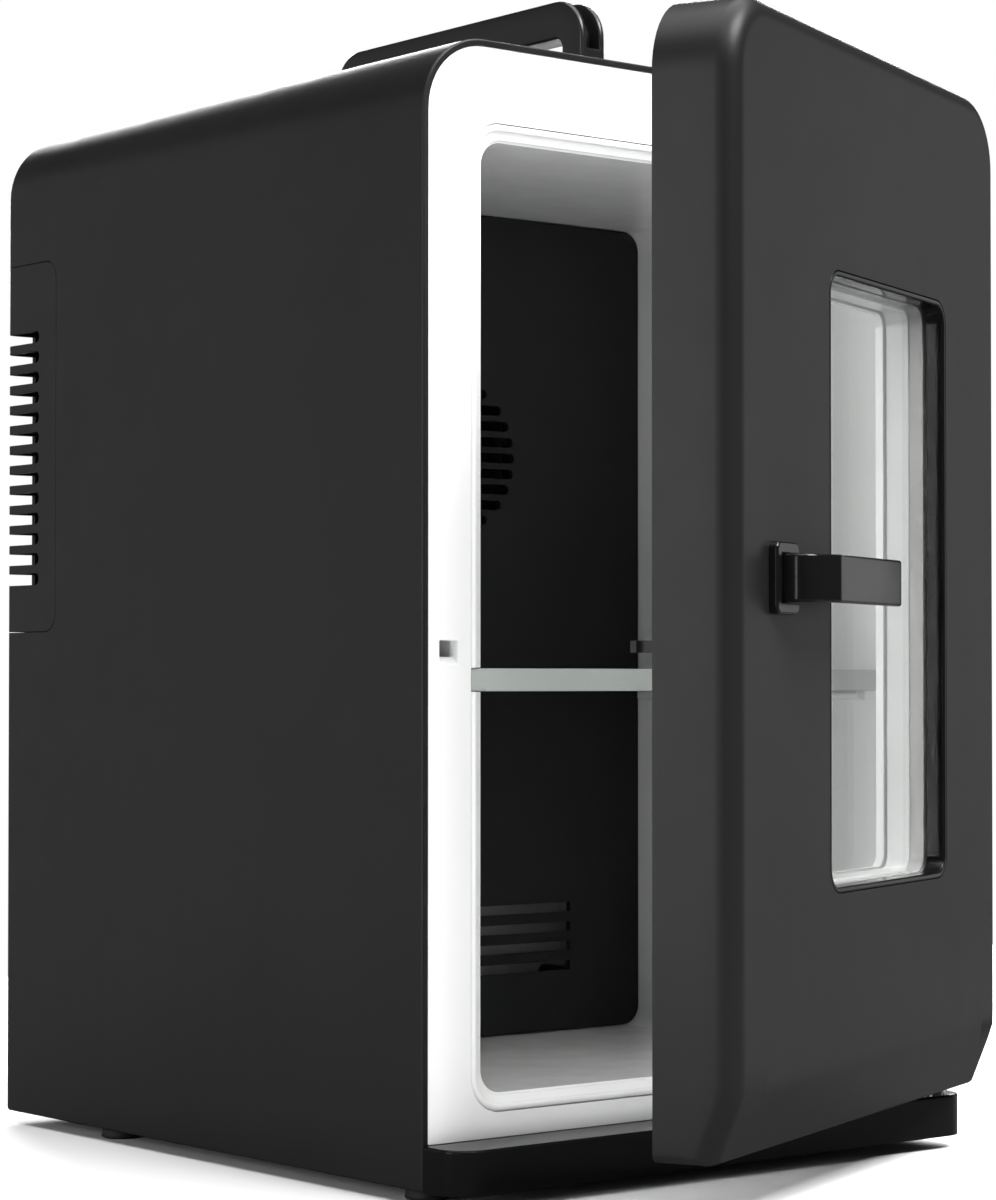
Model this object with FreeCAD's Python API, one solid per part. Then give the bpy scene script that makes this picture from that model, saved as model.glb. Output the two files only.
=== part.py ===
"""Thermoelectric mini fridge with a windowed door, a fold-down carry handle and one shelf.

Frame: millimetres, +X to the right seen from the front, +Y to the back, +Z up.
The origin is the centre of the base's underside in width, under the cabinet's front face.
The door stands ajar at rest, turned DOOR_AJAR degrees about its hinge pins.
"""
import FreeCAD, Part
import math
import os

os.makedirs("parts", exist_ok=True)
V = FreeCAD.Vector
UP, ALONG_X, ALONG_Y = V(0, 0, 1), V(1, 0, 0), V(0, 1, 0)

# ---- driving dimensions -------------------------------------------------------------
WIDTH, DEPTH, HEIGHT = 252.0, 282.0, 400.0
ROOF_R = 27.0                # rounded upper edges of cabinet and door
WALL = 2.4                   # moulded skins
FIT = 0.3                    # gap between separate mouldings
HALF = WIDTH / 2

PLINTH_H, PLINTH_OUT, PLINTH_R = 15.7, 20.4, 12.0
FOOT_R, FOOT_H = 8.0, 5.0

CAVITY_HALF, CAVITY_LOW, CAVITY_HIGH, CAVITY_R = 98.0, 31.0, 364.8, 8.5
CAVITY_BACK = 190.0          # outside of the liner's rear wall
LIP_HALF, LIP_LOW, LIP_HIGH, LIP_R = 104.2, 24.9, 371.0, 12.7
FRAME_FRONT, FRAME_BACK = 0.4, 3.4
DUCT_FRONT = 142.0           # front face of the black rear panel in the cavity
SHELF_LOW, SHELF_HIGH = 171.6, 179.6

DOOR_T, DOOR_GAP, DOOR_LOW = 29.5, 1.0, 19.5
DOOR_EDGE_R = 7.5
CREASE_Z, TOE_DEPTH = 42.2, 9.0
DOOR_AJAR = 23.14
HINGE = V(HALF - 5.0, -6.0, 0)
HINGE_PIN_R, BUSH_R, RUNNING = 1.5, 2.4, 0.05
WINDOW = (-44.0, 66.7, 104.3, 314.7)
WINDOW_R = 7.0

COOLER_Z = 266.0             # height of the cooling module and both fans
COVER_LOW, COVER_HIGH, COVER_FRONT = 195.0, 345.0, 242.0
SLOT_COUNT, SLOT_FIRST, SLOT_PITCH, SLOT_H = 13, 216.6, 8.2, 4.8

LATCH_PIN = V(-90.0, -16.0, 209.0)
STRIKE_X, STRIKE_Z = (-118.5, -110.2), (183.5, 189.3)

HANDLE_Y = (57.0, 217.0)
HANDLE_TOP, HANDLE_PIVOT_Z, HANDLE_HALF = 437.7, 409.0, 6.0
HANDLE_LEG, HANDLE_BAR, HANDLE_R = 12.0, 14.7, 16.0

DOOR_FACE = -DOOR_GAP - DOOR_T     # outer face of the closed door


# ---- small shape makers -------------------------------------------------------------
def box(x0, x1, y0, y1, z0, z1):
    return Part.makeBox(x1 - x0, y1 - y0, z1 - z0, V(x0, y0, z0))


def rod(radius, start, length, axis):
    return Part.makeCylinder(radius, length, start, axis)


def mirrored(shape):
    """The same piece on the other side of the middle plane."""
    return shape.mirror(V(0, 0, 0), ALONG_X)


def grow(rect, amount):
    """A rectangle (low x, high x, low z, high z) moved outward by amount."""
    return rect[0] - amount, rect[1] + amount, rect[2] - amount, rect[3] + amount


def outline(rect, low_r, high_r, place):
    """Closed wire of a rectangle with its lower and upper corners rounded."""
    a0, a1, b0, b1 = rect
    corners = [(a1, b0, low_r, -90), (a1, b1, high_r, 0), (a0, b1, high_r, 90), (a0, b0, low_r, 180)]
    edges, points = [], []
    for a, b, r, start in corners:
        centre_a = a - r if a == a1 else a + r
        centre_b = b - r if b == b1 else b + r
        arc = [(centre_a + r * math.cos(math.radians(start + turn)),
                centre_b + r * math.sin(math.radians(start + turn))) for turn in (0, 45, 90)]
        points.append([place(*p) for p in arc])
    for i, arc in enumerate(points):
        edges.append(Part.Arc(*arc).toShape())
        edges.append(Part.LineSegment(arc[2], points[(i + 1) % 4][0]).toShape())
    return Part.Wire(edges)


def slab_y(rect, low_r, high_r, y0, y1):
    """Rounded rectangle in X and Z, carried from y0 to y1."""
    wire = outline(rect, low_r, high_r, lambda a, b: V(a, y0, b))
    return Part.Face(wire).extrude(V(0, y1 - y0, 0))


def slab_x(rect, low_r, high_r, x0, x1):
    """Rounded rectangle in Y and Z, carried from x0 to x1."""
    wire = outline(rect, low_r, high_r, lambda a, b: V(x0, a, b))
    return Part.Face(wire).extrude(V(x1 - x0, 0, 0))


def prism(points, direction):
    """Straight-sided outline carried along a direction."""
    return Part.Face(Part.makePolygon(points + points[:1])).extrude(direction)


def frustum_y(rect0, r0, y0, rect1, r1, y1):
    """Solid that tapers from one rounded rectangle to another along Y."""
    first = outline(rect0, r0, r0, lambda a, b: V(a, y0, b))
    second = outline(rect1, r1, r1, lambda a, b: V(a, y1, b))
    return Part.makeLoft([first, second], True, True)


def edges_where(shape, test):
    return [e for e in shape.Edges if test(e.BoundBox)]


def group(solids):
    return Part.makeCompound(solids)


def swing(shape):
    """Turn a piece of the closed door to the ajar rest position."""
    turned = shape.copy()
    turned.rotate(HINGE, UP, DOOR_AJAR)
    return turned


def save(name, shape):
    shape.exportStep("parts/%s.step" % name)


# ---- cabinet skins ------------------------------------------------------------------
CABINET = (-HALF, HALF, 0.0, HEIGHT)
REAR_EDGE_R, FLOOR_EDGE_R, FRONT_EDGE_R = 5.0, 0.6, 0.7
COVER_R = 8.0
REAR_WALL = DEPTH - WALL
TAB_X, TAB_HALF, TAB_FRONT, TAB_REACH = 95.0, 6.0, 272.0, 14.0
SCREW_IN = 9.0
INLET_Z, SWITCH_X, AC_X, DC_X = 60.0, 10.0, 50.0, 88.0


def cabinet_skin():
    """Roof, sides and rear wall as one skin, open in front and below."""
    outer = slab_y(CABINET, FLOOR_EDGE_R, ROOF_R, 0, DEPTH)
    rear = edges_where(outer, lambda b: b.YMin > DEPTH - 0.1 and b.ZMax > 1)
    outer = outer.makeFillet(REAR_EDGE_R, rear)
    front = edges_where(outer, lambda b: b.YMax < 0.1 and b.ZMax > 1)
    outer = outer.makeFillet(FRONT_EDGE_R, front)
    inner = slab_y((-HALF + WALL, HALF - WALL, -50, HEIGHT - WALL), 1, ROOF_R - WALL, -1, REAR_WALL)
    return outer.cut(inner)


def cover_zone(gap):
    """Space of the rear cover in side view, made smaller by gap."""
    rect = (COVER_FRONT + gap, DEPTH + 60, COVER_LOW + gap, COVER_HIGH - gap)
    return slab_x(rect, COVER_R - gap, COVER_R - gap, -HALF - 5, HALF + 5)


def cover_screw_places():
    low, high = COVER_LOW + SCREW_IN, COVER_HIGH - SCREW_IN
    return [(x, z) for x in (-TAB_X, TAB_X) for z in (low, high)]


def outer_shell(skin):
    shell = skin.cut(cover_zone(0))
    for x, z in cover_screw_places():
        step = -1 if z < COOLER_Z else 1
        root = COVER_LOW if step < 0 else COVER_HIGH
        z0, z1 = sorted((root - step * TAB_REACH, root + step * TAB_REACH))
        w0, w1 = sorted((root + step * 1.0, root + step * TAB_REACH))
        tab = box(x - TAB_HALF, x + TAB_HALF, TAB_FRONT, REAR_WALL - FIT, z0, z1)
        web = box(x - TAB_HALF, x + TAB_HALF, TAB_FRONT, REAR_WALL + 1, w0, w1)
        shell = shell.fuse(tab).fuse(web)
        shell = shell.cut(rod(SCREW_R + RUNNING, V(x, TAB_FRONT - 1, z), DEPTH, ALONG_Y))
    cut_depth = (REAR_WALL - 2, DEPTH + 2)
    shell = shell.cut(box(SWITCH_X - 9.3, SWITCH_X + 9.3, *cut_depth, INLET_Z - 10.8, INLET_Z + 10.8))
    shell = shell.cut(box(AC_X - 12.3, AC_X + 12.3, *cut_depth, INLET_Z - 8.3, INLET_Z + 8.3))
    shell = shell.cut(rod(7.8, V(DC_X, cut_depth[0], INLET_Z), 5, ALONG_Y))
    return shell.removeSplitter()


SLOT_SIDE_FRONT, SLOT_REAR_REACH = 255.2, 12.8
GRILLE_R, GRILLE_SLOTS = 38.0, 9
SCREW_R = 1.5


def corner_slot(z):
    """One vent slot that wraps the left rear edge, round at its side end and square at the back."""
    r = SLOT_H / 2
    y0, x1 = SLOT_SIDE_FRONT + r, -HALF + SLOT_REAR_REACH
    side = box(-HALF - 2, -HALF + WALL + 2, y0, DEPTH + 2, z - r, z + r)
    side = side.fuse(rod(r, V(-HALF - 2, y0, z), WALL + 4, ALONG_X))
    back = box(-HALF - 2, x1, REAR_WALL - 3, DEPTH + 2, z - r, z + r)
    return side.fuse(back)


def fan_slot(z, centre_z, reach, y0, y1):
    """One rounded slot of a round grille."""
    r = 2.0
    half = math.sqrt(reach ** 2 - (z - centre_z) ** 2) - r
    bar = box(-half, half, y0, y1, z - r, z + r)
    for x in (-half, half):
        bar = bar.fuse(rod(r, V(x, y0, z), y1 - y0, ALONG_Y))
    return bar


def rear_cover(skin):
    cover = skin.common(cover_zone(FIT))
    for i in range(SLOT_COUNT):
        slot = corner_slot(SLOT_FIRST + i * SLOT_PITCH)
        cover = cover.cut(slot).cut(mirrored(slot))
    for i in range(GRILLE_SLOTS):
        z = COOLER_Z + (i - (GRILLE_SLOTS - 1) / 2) * SLOT_PITCH
        cover = cover.cut(fan_slot(z, COOLER_Z, GRILLE_R, REAR_WALL - 2, DEPTH + 2))
    for x, z in cover_screw_places():
        cover = cover.cut(rod(SCREW_R + RUNNING, V(x, REAR_WALL - 2, z), 6, ALONG_Y))
    return cover


def pan_screw(x, y, z, reach):
    """Pan-head screw driven towards -Y, its head resting at y."""
    head = rod(3.2, V(x, y + 0.02, z), 1.5, ALONG_Y)
    head = head.makeFillet(0.6, edges_where(head, lambda b: b.YMin > y + 1.4))
    cross = box(x - 1.6, x + 1.6, y + 0.9, y + 2, z - 0.3, z + 0.3)
    cross = cross.fuse(box(x - 0.3, x + 0.3, y + 0.9, y + 2, z - 1.6, z + 1.6))
    return head.fuse(rod(SCREW_R, V(x, y - reach, z), reach + 0.5, ALONG_Y)).cut(cross)


# ---- base ---------------------------------------------------------------------------
PAN_T, PAN_BACK = 3.0, REAR_WALL - FIT
FEET = [(x, y) for x in (-113.0, 113.0) for y in (14.0, 212.0)]
STUD_R, STUD_TOP = 3.0, 7.0
HINGE_COLLAR_R = 3.4


def plinth_block(inset, z0, z1):
    """Front step of the base, rounded in plan at its front corners."""
    r = PLINTH_R - inset
    x, y0, y1 = HALF - inset, -PLINTH_OUT + inset, -0.2 - inset
    block = box(-x, x, y0, y1, z0, z1)
    corners = edges_where(block, lambda b: b.YMax < y0 + 0.1 and b.ZLength > z1 - z0 - 0.1)
    return block.makeFillet(r, corners)


def base_plinth():
    step = plinth_block(0, 0, PLINTH_H)
    top = edges_where(step, lambda b: b.ZMin > PLINTH_H - 0.1 and b.YMin < -1)
    step = step.makeFillet(1.0, top)
    step = step.cut(plinth_block(WALL, -1, PLINTH_H - WALL))
    pan = box(-HALF + WALL + FIT, HALF - WALL - FIT, -1.0, PAN_BACK, 0, PAN_T)
    sill = box(-HALF + WALL + FIT, HALF - WALL - FIT, -1.0, 3.2, 0, PLINTH_H - 0.1)
    sill = sill.cut(box(-HALF, HALF, 1.2, 5, PAN_T, PLINTH_H))
    base = step.fuse(pan).fuse(sill)
    base = base.fuse(rod(4.4, V(HINGE.x, HINGE.y, 0), PLINTH_H - 1, UP))
    base = base.cut(rod(HINGE_PIN_R + 0.02, V(HINGE.x, HINGE.y, 3), PLINTH_H, UP))
    for x, y in FEET:
        base = base.cut(rod(STUD_R + 0.05, V(x, y, -1), PAN_T + 2, UP))
    return base.removeSplitter()


def rubber_foot(x, y):
    disc = rod(FOOT_R, V(x, y, -FOOT_H), FOOT_H - 0.02, UP)
    disc = disc.makeFillet(1.2, edges_where(disc, lambda b: b.ZMax < -FOOT_H + 0.1))
    barb = Part.makeCone(STUD_R + 0.8, STUD_R - 0.8, 3.0, V(x, y, PAN_T + 0.3), UP)
    return disc.fuse(rod(STUD_R, V(x, y, -0.5), STUD_TOP - 2, UP)).fuse(barb)


# ---- front frame, liner and insulation ----------------------------------------------
CAVITY = (-CAVITY_HALF, CAVITY_HALF, CAVITY_LOW, CAVITY_HIGH)
LIP = (-LIP_HALF, LIP_HALF, LIP_LOW, LIP_HIGH)
BLOCK_HALF = 21.0            # hole in the liner's rear wall for the cold block
TAB_ZS = (356.5, 359.5)      # upper hinge tab
BRACKET_SCREW_ZS = (349.0, 367.0)
BRACKET_SCREW_X = 111.5
STRIKE_HOLE = (*STRIKE_X, *STRIKE_Z)


def hinge_slot(y0, y1, gap):
    return box(115.7 - gap, HALF - WALL - 0.05 + gap, y0, y1, TAB_ZS[0] - gap, TAB_ZS[1] + gap)


def front_frame():
    rect = (-HALF + WALL + 0.1, HALF - WALL - 0.1, PLINTH_H + 0.2, HEIGHT - WALL - 0.1)
    ring = slab_y(rect, 1.0, ROOF_R - WALL - 0.1, FRAME_FRONT, FRAME_BACK)
    ring = ring.cut(slab_y(grow(LIP, FIT), LIP_R + FIT, LIP_R + FIT, -1, 5))
    ring = ring.cut(hinge_slot(-1, 5, FIT))
    ring = ring.cut(slab_y(STRIKE_HOLE, 0.6, 0.6, -1, 5))
    for z in BRACKET_SCREW_ZS:
        ring = ring.cut(rod(SCREW_R + RUNNING, V(BRACKET_SCREW_X, -1, z), 6, ALONG_Y))
        ring = ring.cut(rod(3.1, V(BRACKET_SCREW_X, -1, z), 1 + FRAME_FRONT + 1.2, ALONG_Y))
    ramp = prism([V(STRIKE_X[0], -1, STRIKE_Z[0] - 4), V(STRIKE_X[0], -1, STRIKE_Z[0] + 1),
                  V(STRIKE_X[0], FRAME_BACK, STRIKE_Z[0] + 1), V(STRIKE_X[0], FRAME_BACK, STRIKE_Z[0])],
                 V(STRIKE_X[1] - STRIKE_X[0], 0, 0))
    return ring.cut(ramp)


def inner_liner():
    flange = slab_y(grow(LIP, 1.6), LIP_R + 1.6, LIP_R + 1.6, FRAME_BACK + 0.1, FRAME_BACK + 2)
    rim = slab_y(LIP, LIP_R, LIP_R, FRAME_FRONT, FRAME_BACK + 2)
    tub = slab_y(grow(CAVITY, WALL), CAVITY_R + WALL, CAVITY_R + WALL, FRAME_BACK + 1, CAVITY_BACK)
    liner = flange.fuse(rim).fuse(tub)
    liner = liner.cut(slab_y(CAVITY, CAVITY_R, CAVITY_R, 0, CAVITY_BACK - WALL))
    liner = liner.cut(frustum_y(grow(LIP, -0.5), LIP_R - 0.5, FRAME_FRONT - 0.01,
                                CAVITY, CAVITY_R, FRAME_BACK - 0.4))
    side_notch = box(CAVITY_HALF - 0.5, LIP_HALF + 2, -1, 6.2, SHELF_LOW - FIT, SHELF_HIGH + FIT)
    ledge = box(CAVITY_HALF - 4.8, CAVITY_HALF + 0.5, 12, DUCT_FRONT - 4, SHELF_LOW - 4, SHELF_LOW - 0.4)
    for shape in (side_notch, mirrored(side_notch)):
        liner = liner.cut(shape)
    for shape in (ledge, mirrored(ledge)):
        liner = liner.fuse(shape)
    hole = box(-BLOCK_HALF, BLOCK_HALF, CAVITY_BACK - 5, CAVITY_BACK + 1,
               COOLER_Z - BLOCK_HALF, COOLER_Z + BLOCK_HALF)
    return liner.cut(hole).removeSplitter()


FOAM_FRONT, FOAM_BACK = 6.0, 212.0


def insulation_foam():
    rect = (-HALF + WALL + FIT, HALF - WALL - FIT, PAN_T + FIT, HEIGHT - WALL - FIT)
    foam = slab_y(rect, 1.0, ROOF_R - WALL - FIT, FOAM_FRONT, FOAM_BACK)
    foam = foam.cut(slab_y(grow(CAVITY, WALL + FIT), CAVITY_R + WALL + FIT, CAVITY_R + WALL + FIT,
                           0, CAVITY_BACK + FIT))
    foam = foam.cut(box(-BLOCK_HALF, BLOCK_HALF, CAVITY_BACK, FOAM_BACK + 1,
                        COOLER_Z - BLOCK_HALF, COOLER_Z + BLOCK_HALF))
    foam = foam.cut(box(107.5, HALF, 0, 9.8, 342, 374))
    foam = foam.cut(box(-HALF, STRIKE_X[1] + 2, 0, 24, STRIKE_Z[0] - 4, STRIKE_Z[1] + 4))
    for z in BRACKET_SCREW_ZS:
        foam = foam.cut(rod(SCREW_R + FIT, V(BRACKET_SCREW_X, 0, z), 15, ALONG_Y))
    for x, y in FEET:
        foam = foam.cut(rod(STUD_R + 1.5, V(x, y, 0), STUD_TOP + 1, UP))
    return foam


def strike_plate():
    """Backing plate with a closed pocket behind it, where the latch hook catches."""
    front, back, skin = FRAME_BACK + 0.1, 18.0, 1.0
    plate = box(STRIKE_X[0] - 4.0, -106.2, front, FRAME_BACK + 1.9, STRIKE_Z[0] - 3.2, STRIKE_Z[1] + 3.2)
    x0, x1, z0, z1 = STRIKE_X[0] - 4.0, STRIKE_X[1] + 1.8, STRIKE_Z[0] - 3.2, STRIKE_Z[1] + 3.2
    pocket = box(x0, x1, front, back, z0, z1)
    hollow = box(x0 + skin, x1 - skin, FRAME_BACK + 1.9, back - skin, z0 + skin, z1 - skin)
    return plate.fuse(pocket).cut(hollow).cut(slab_y(STRIKE_HOLE, 0.6, 0.6, 0, 8)).removeSplitter()


# ---- cavity furniture ---------------------------------------------------------------
def shelf():
    half, back, skin, rim = CAVITY_HALF - 0.6, DUCT_FRONT - 4.0, 2.6, 3.0
    plate = box(-half, half, 0.8, back, SHELF_LOW, SHELF_HIGH)
    plate = plate.cut(box(-half + rim, half - rim, 6.5, back - rim, SHELF_LOW - 1, SHELF_HIGH - skin))
    nose = box(-LIP_HALF + 0.2, LIP_HALF - 0.2, 0.8, 5.8, SHELF_LOW, SHELF_HIGH)
    nose = nose.makeFillet(1.2, edges_where(nose, lambda b: b.YMax < 0.9 and b.XLength > 100))
    plate = plate.fuse(nose)
    for i in range(9):
        x = (i - 4) * 20.0
        slot = box(x - 2.5, x + 2.5, 22, back - 14, SHELF_LOW, SHELF_HIGH + 1)
        for y in (22, back - 14):
            slot = slot.fuse(rod(2.5, V(x, y, SHELF_LOW), SHELF_HIGH - SHELF_LOW + 1, UP))
        plate = plate.cut(slot)
    return plate.removeSplitter()


DUCT_T = 2.5
DUCT_POSTS = [(x, z) for x in (-84.0, 84.0) for z in (50.0, 346.0)]


def duct_cover():
    """Black panel over the inner fan and cold sink, with its air slots."""
    rect = grow(CAVITY, -0.6)
    panel = slab_y(rect, CAVITY_R - 0.6, CAVITY_R - 0.6, DUCT_FRONT, DUCT_FRONT + DUCT_T)
    for i in range(GRILLE_SLOTS):
        z = COOLER_Z + (i - (GRILLE_SLOTS - 1) / 2) * 6.4
        panel = panel.cut(fan_slot(z, COOLER_Z, 30.0, DUCT_FRONT - 1, DUCT_FRONT + DUCT_T + 1))
    for i in range(4):
        z = 58.0 + i * 8.0
        panel = panel.cut(box(-60, 60, DUCT_FRONT - 1, DUCT_FRONT + DUCT_T + 1, z - 2, z + 2))
    for x, z in DUCT_POSTS:
        post = rod(4.0, V(x, DUCT_FRONT + 1, z), CAVITY_BACK - WALL - 0.3 - DUCT_FRONT - 1, ALONG_Y)
        panel = panel.fuse(post)
    return panel.removeSplitter()


# ---- cooling module -----------------------------------------------------------------
COLD_BASE = (183.6, CAVITY_BACK - WALL - 0.1)
COLD_FIN_FRONT, INNER_FAN_Y = 167.0, (150.0, 165.0)
TILE_Y = (208.0, 211.8)
HOT_BASE, HOT_FIN_BACK, OUTER_FAN_Y = (212.2, 217.0), 250.0, (252.0, 272.0)


def finned_block(half_x, half_z, base, fin_to, pitch, thick):
    """Flat base plate with upright fins towards fin_to."""
    block = box(-half_x, half_x, base[0], base[1], COOLER_Z - half_z, COOLER_Z + half_z)
    y0, y1 = sorted((fin_to, base[0] if fin_to < base[0] else base[1]))
    count = int((2 * half_x - thick) / pitch)
    for i in range(count + 1):
        x = -half_x + i * (2 * half_x - thick) / count
        block = block.fuse(box(x, x + thick, y0, y1, COOLER_Z - half_z, COOLER_Z + half_z))
    return block.removeSplitter()


def cold_block():
    half = BLOCK_HALF - 0.5
    return box(-half, half, COLD_BASE[1] + 0.05, TILE_Y[0] - 0.05, COOLER_Z - half, COOLER_Z + half)


def peltier_tile():
    half = BLOCK_HALF - 1.0
    tile = box(-half, half, TILE_Y[0], TILE_Y[1], COOLER_Z - half, COOLER_Z + half)
    gap = box(-half - 1, half + 1, TILE_Y[0] + 0.8, TILE_Y[1] - 0.8, COOLER_Z - half - 1, COOLER_Z + half + 1)
    core = box(-half + 1, half - 1, TILE_Y[0] + 0.5, TILE_Y[1] - 0.5, COOLER_Z - half + 1, COOLER_Z + half - 1)
    return tile.cut(gap).fuse(core).removeSplitter()


def fan_frame(half, depth, bore, hub, struts):
    """Square fan housing with its bore, motor plate, struts and shaft; air side faces the plate."""
    y0, y1 = depth
    frame = slab_y((-half, half, COOLER_Z - half, COOLER_Z + half), 4, 4, y0, y1)
    frame = frame.cut(rod(bore, V(0, y0 - 1, COOLER_Z), y1 - y0 + 2, ALONG_Y))
    frame = frame.fuse(rod(hub, V(0, y1 - 2.5, COOLER_Z), 2.5, ALONG_Y))
    for i in range(struts):
        arm = box(0, bore + 2, y1 - 2.5, y1, COOLER_Z - 1.5, COOLER_Z + 1.5)
        arm.rotate(V(0, 0, COOLER_Z), ALONG_Y, 45 + i * 360.0 / struts)
        frame = frame.fuse(arm)
    frame = frame.fuse(rod(1.5, V(0, y0 + 3, COOLER_Z), y1 - y0 - 4, ALONG_Y))
    screw = half - 4.5
    for x in (-screw, screw):
        for z in (-screw, screw):
            frame = frame.cut(rod(1.8, V(x, y0 - 1, COOLER_Z + z), y1 - y0 + 2, ALONG_Y))
    return frame.removeSplitter()


def fan_rotor(depth, hub, tip, blades):
    """Hub with pitched blades and a bore for the shaft."""
    y0, y1 = depth[0] + 1.0, depth[1] - 3.2
    mid = (y0 + y1) / 2
    rotor = rod(hub, V(0, y0, COOLER_Z), y1 - y0, ALONG_Y)
    chord = (y1 - y0) * 0.95
    for i in range(blades):
        blade = box(hub - 2, tip, mid - 0.7, mid + 0.7, COOLER_Z - chord / 2, COOLER_Z + chord / 2)
        blade.rotate(V(0, mid, COOLER_Z), ALONG_X, 38)
        blade.rotate(V(0, mid, COOLER_Z), ALONG_Y, i * 360.0 / blades)
        rotor = rotor.fuse(blade)
    rotor = rotor.common(rod(tip, V(0, y0 - 1, COOLER_Z), y1 - y0 + 2, ALONG_Y))
    return rotor.cut(rod(1.5 + RUNNING, V(0, y0 - 2, COOLER_Z), y1 - y0 + 4, ALONG_Y)).removeSplitter()


def fan_screws():
    places = [(x, z) for x in (-35.5, 35.5) for z in (-35.5, 35.5)]
    return group([pan_screw(x, OUTER_FAN_Y[1], COOLER_Z + z, 21.0) for x, z in places])


# ---- electrics ----------------------------------------------------------------------
def control_board():
    board = box(-104, -24, 238, 239.6, 24, 96)
    for x in (-98, -30):
        for z in (30, 90):
            board = board.fuse(rod(2.5, V(x, FOAM_BACK + 0.1, z), 26.5, ALONG_Y))
    board = board.fuse(box(-96, -66, 239, 258, 36, 62))
    board = board.fuse(rod(6.5, V(-46, 239, 74), 22, ALONG_Y))
    board = board.fuse(rod(5.0, V(-62, 239, 80), 16, ALONG_Y))
    board = board.fuse(box(-58, -34, 239, 249, 38, 54))
    return board.removeSplitter()


SWITCH_PIVOT_Y = 278.0


def switch_body():
    flange = box(SWITCH_X - 10.8, SWITCH_X + 10.8, DEPTH + 0.05, DEPTH + 1.6, INLET_Z - 12.6, INLET_Z + 12.6)
    flange = flange.makeFillet(0.8, edges_where(flange, lambda b: b.YMin > DEPTH + 1.5))
    body = box(SWITCH_X - 9.0, SWITCH_X + 9.0, 262, DEPTH + 1.0, INLET_Z - 10.5, INLET_Z + 10.5).fuse(flange)
    body = body.cut(box(SWITCH_X - 7.8, SWITCH_X + 7.8, 270, DEPTH + 3, INLET_Z - 9.2, INLET_Z + 9.2))
    pivot = V(SWITCH_X - 8.6, SWITCH_PIVOT_Y, INLET_Z)
    return body.cut(rod(1.06, pivot, 17.2, ALONG_X)).removeSplitter()


def switch_rocker():
    x0, wide = SWITCH_X - 7.4, 14.8
    side = [(272.5, -4.5), (284.2, -7.8), (282.4, 0.0), (284.2, 7.8), (272.5, 4.5)]
    rocker = prism([V(x0, y, INLET_Z + z) for y, z in side], V(wide, 0, 0))
    pin = rod(1.0, V(SWITCH_X - 8.5, SWITCH_PIVOT_Y, INLET_Z), 17.0, ALONG_X)
    return rocker.fuse(pin).removeSplitter()


def ac_inlet():
    flange = slab_y((AC_X - 14, AC_X + 14, INLET_Z - 10, INLET_Z + 10), 3, 3, DEPTH + 0.05, DEPTH + 1.8)
    body = slab_y((AC_X - 12, AC_X + 12, INLET_Z - 8, INLET_Z + 8), 2, 2, 260, DEPTH + 1)
    socket = slab_y((AC_X - 8.6, AC_X + 8.6, INLET_Z - 4.5, INLET_Z + 4.5), 4.3, 4.3, 268, DEPTH + 3)
    housing = body.fuse(flange).cut(socket)
    for x in (-4.3, 4.3):
        housing = housing.cut(rod(1.25, V(AC_X + x, 259, INLET_Z), 12, ALONG_Y))
    return housing.removeSplitter()


def ac_pins():
    return group([rod(1.2, V(AC_X + x, 256, INLET_Z), 23, ALONG_Y) for x in (-4.3, 4.3)])


def dc_socket():
    body = rod(7.5, V(DC_X, 262, INLET_Z), DEPTH + 1 - 262, ALONG_Y)
    body = body.fuse(rod(9.5, V(DC_X, DEPTH + 0.05, INLET_Z), 1.8, ALONG_Y))
    body = body.cut(rod(5.2, V(DC_X, 270, INLET_Z), 20, ALONG_Y))
    return body.fuse(rod(1.0, V(DC_X, 268, INLET_Z), 11, ALONG_Y)).removeSplitter()


# ---- hinges -------------------------------------------------------------------------
UPPER_PIN_ZS = (350.0, 366.0)
BUSHES = [(DOOR_LOW + 0.4, 33.0), (350.0, 355.7), (360.3, 366.0)]


def upper_hinge_bracket():
    tab = box(116.0, HALF - WALL - 0.4, HINGE.y - 3.0, 9.4, *TAB_ZS)
    tab = tab.makeFillet(2.0, edges_where(tab, lambda b: b.YMax < HINGE.y - 2.9 and b.ZLength > 2))
    flange = box(107.8, HALF - WALL - 0.4, 6.4, 9.4, 343, 373)
    bracket = tab.fuse(flange)
    bracket = bracket.cut(rod(HINGE_PIN_R + 0.02, V(HINGE.x, HINGE.y, TAB_ZS[0] - 2), 8, UP))
    for z in BRACKET_SCREW_ZS:
        bracket = bracket.cut(rod(SCREW_R + RUNNING, V(BRACKET_SCREW_X, 0, z), 15, ALONG_Y))
    return bracket.removeSplitter()


def bracket_screw(z):
    """Countersunk-style screw, its flat head flush with the front frame."""
    head = rod(3.0, V(BRACKET_SCREW_X, FRAME_FRONT + 0.02, z), 1.1, ALONG_Y)
    cross = box(BRACKET_SCREW_X - 1.6, BRACKET_SCREW_X + 1.6, 0, FRAME_FRONT + 0.7, z - 0.3, z + 0.3)
    return head.fuse(rod(SCREW_R, V(BRACKET_SCREW_X, FRAME_FRONT + 1, z), 11, ALONG_Y)).cut(cross)


def upper_hinge_pin():
    return rod(HINGE_PIN_R, V(HINGE.x, HINGE.y, UPPER_PIN_ZS[0]), UPPER_PIN_ZS[1] - UPPER_PIN_ZS[0], UP)


def lower_hinge_pin():
    pin = rod(HINGE_PIN_R, V(HINGE.x, HINGE.y, 3.5), 28.5, UP)
    return pin.fuse(rod(HINGE_COLLAR_R, V(HINGE.x, HINGE.y, PLINTH_H + 0.05), 3.2, UP))


def hinge_bush(z0, z1):
    bush = rod(BUSH_R, V(HINGE.x, HINGE.y, z0), z1 - z0, UP)
    return bush.cut(rod(HINGE_PIN_R + RUNNING, V(HINGE.x, HINGE.y, z0 - 1), z1 - z0 + 2, UP))


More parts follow.
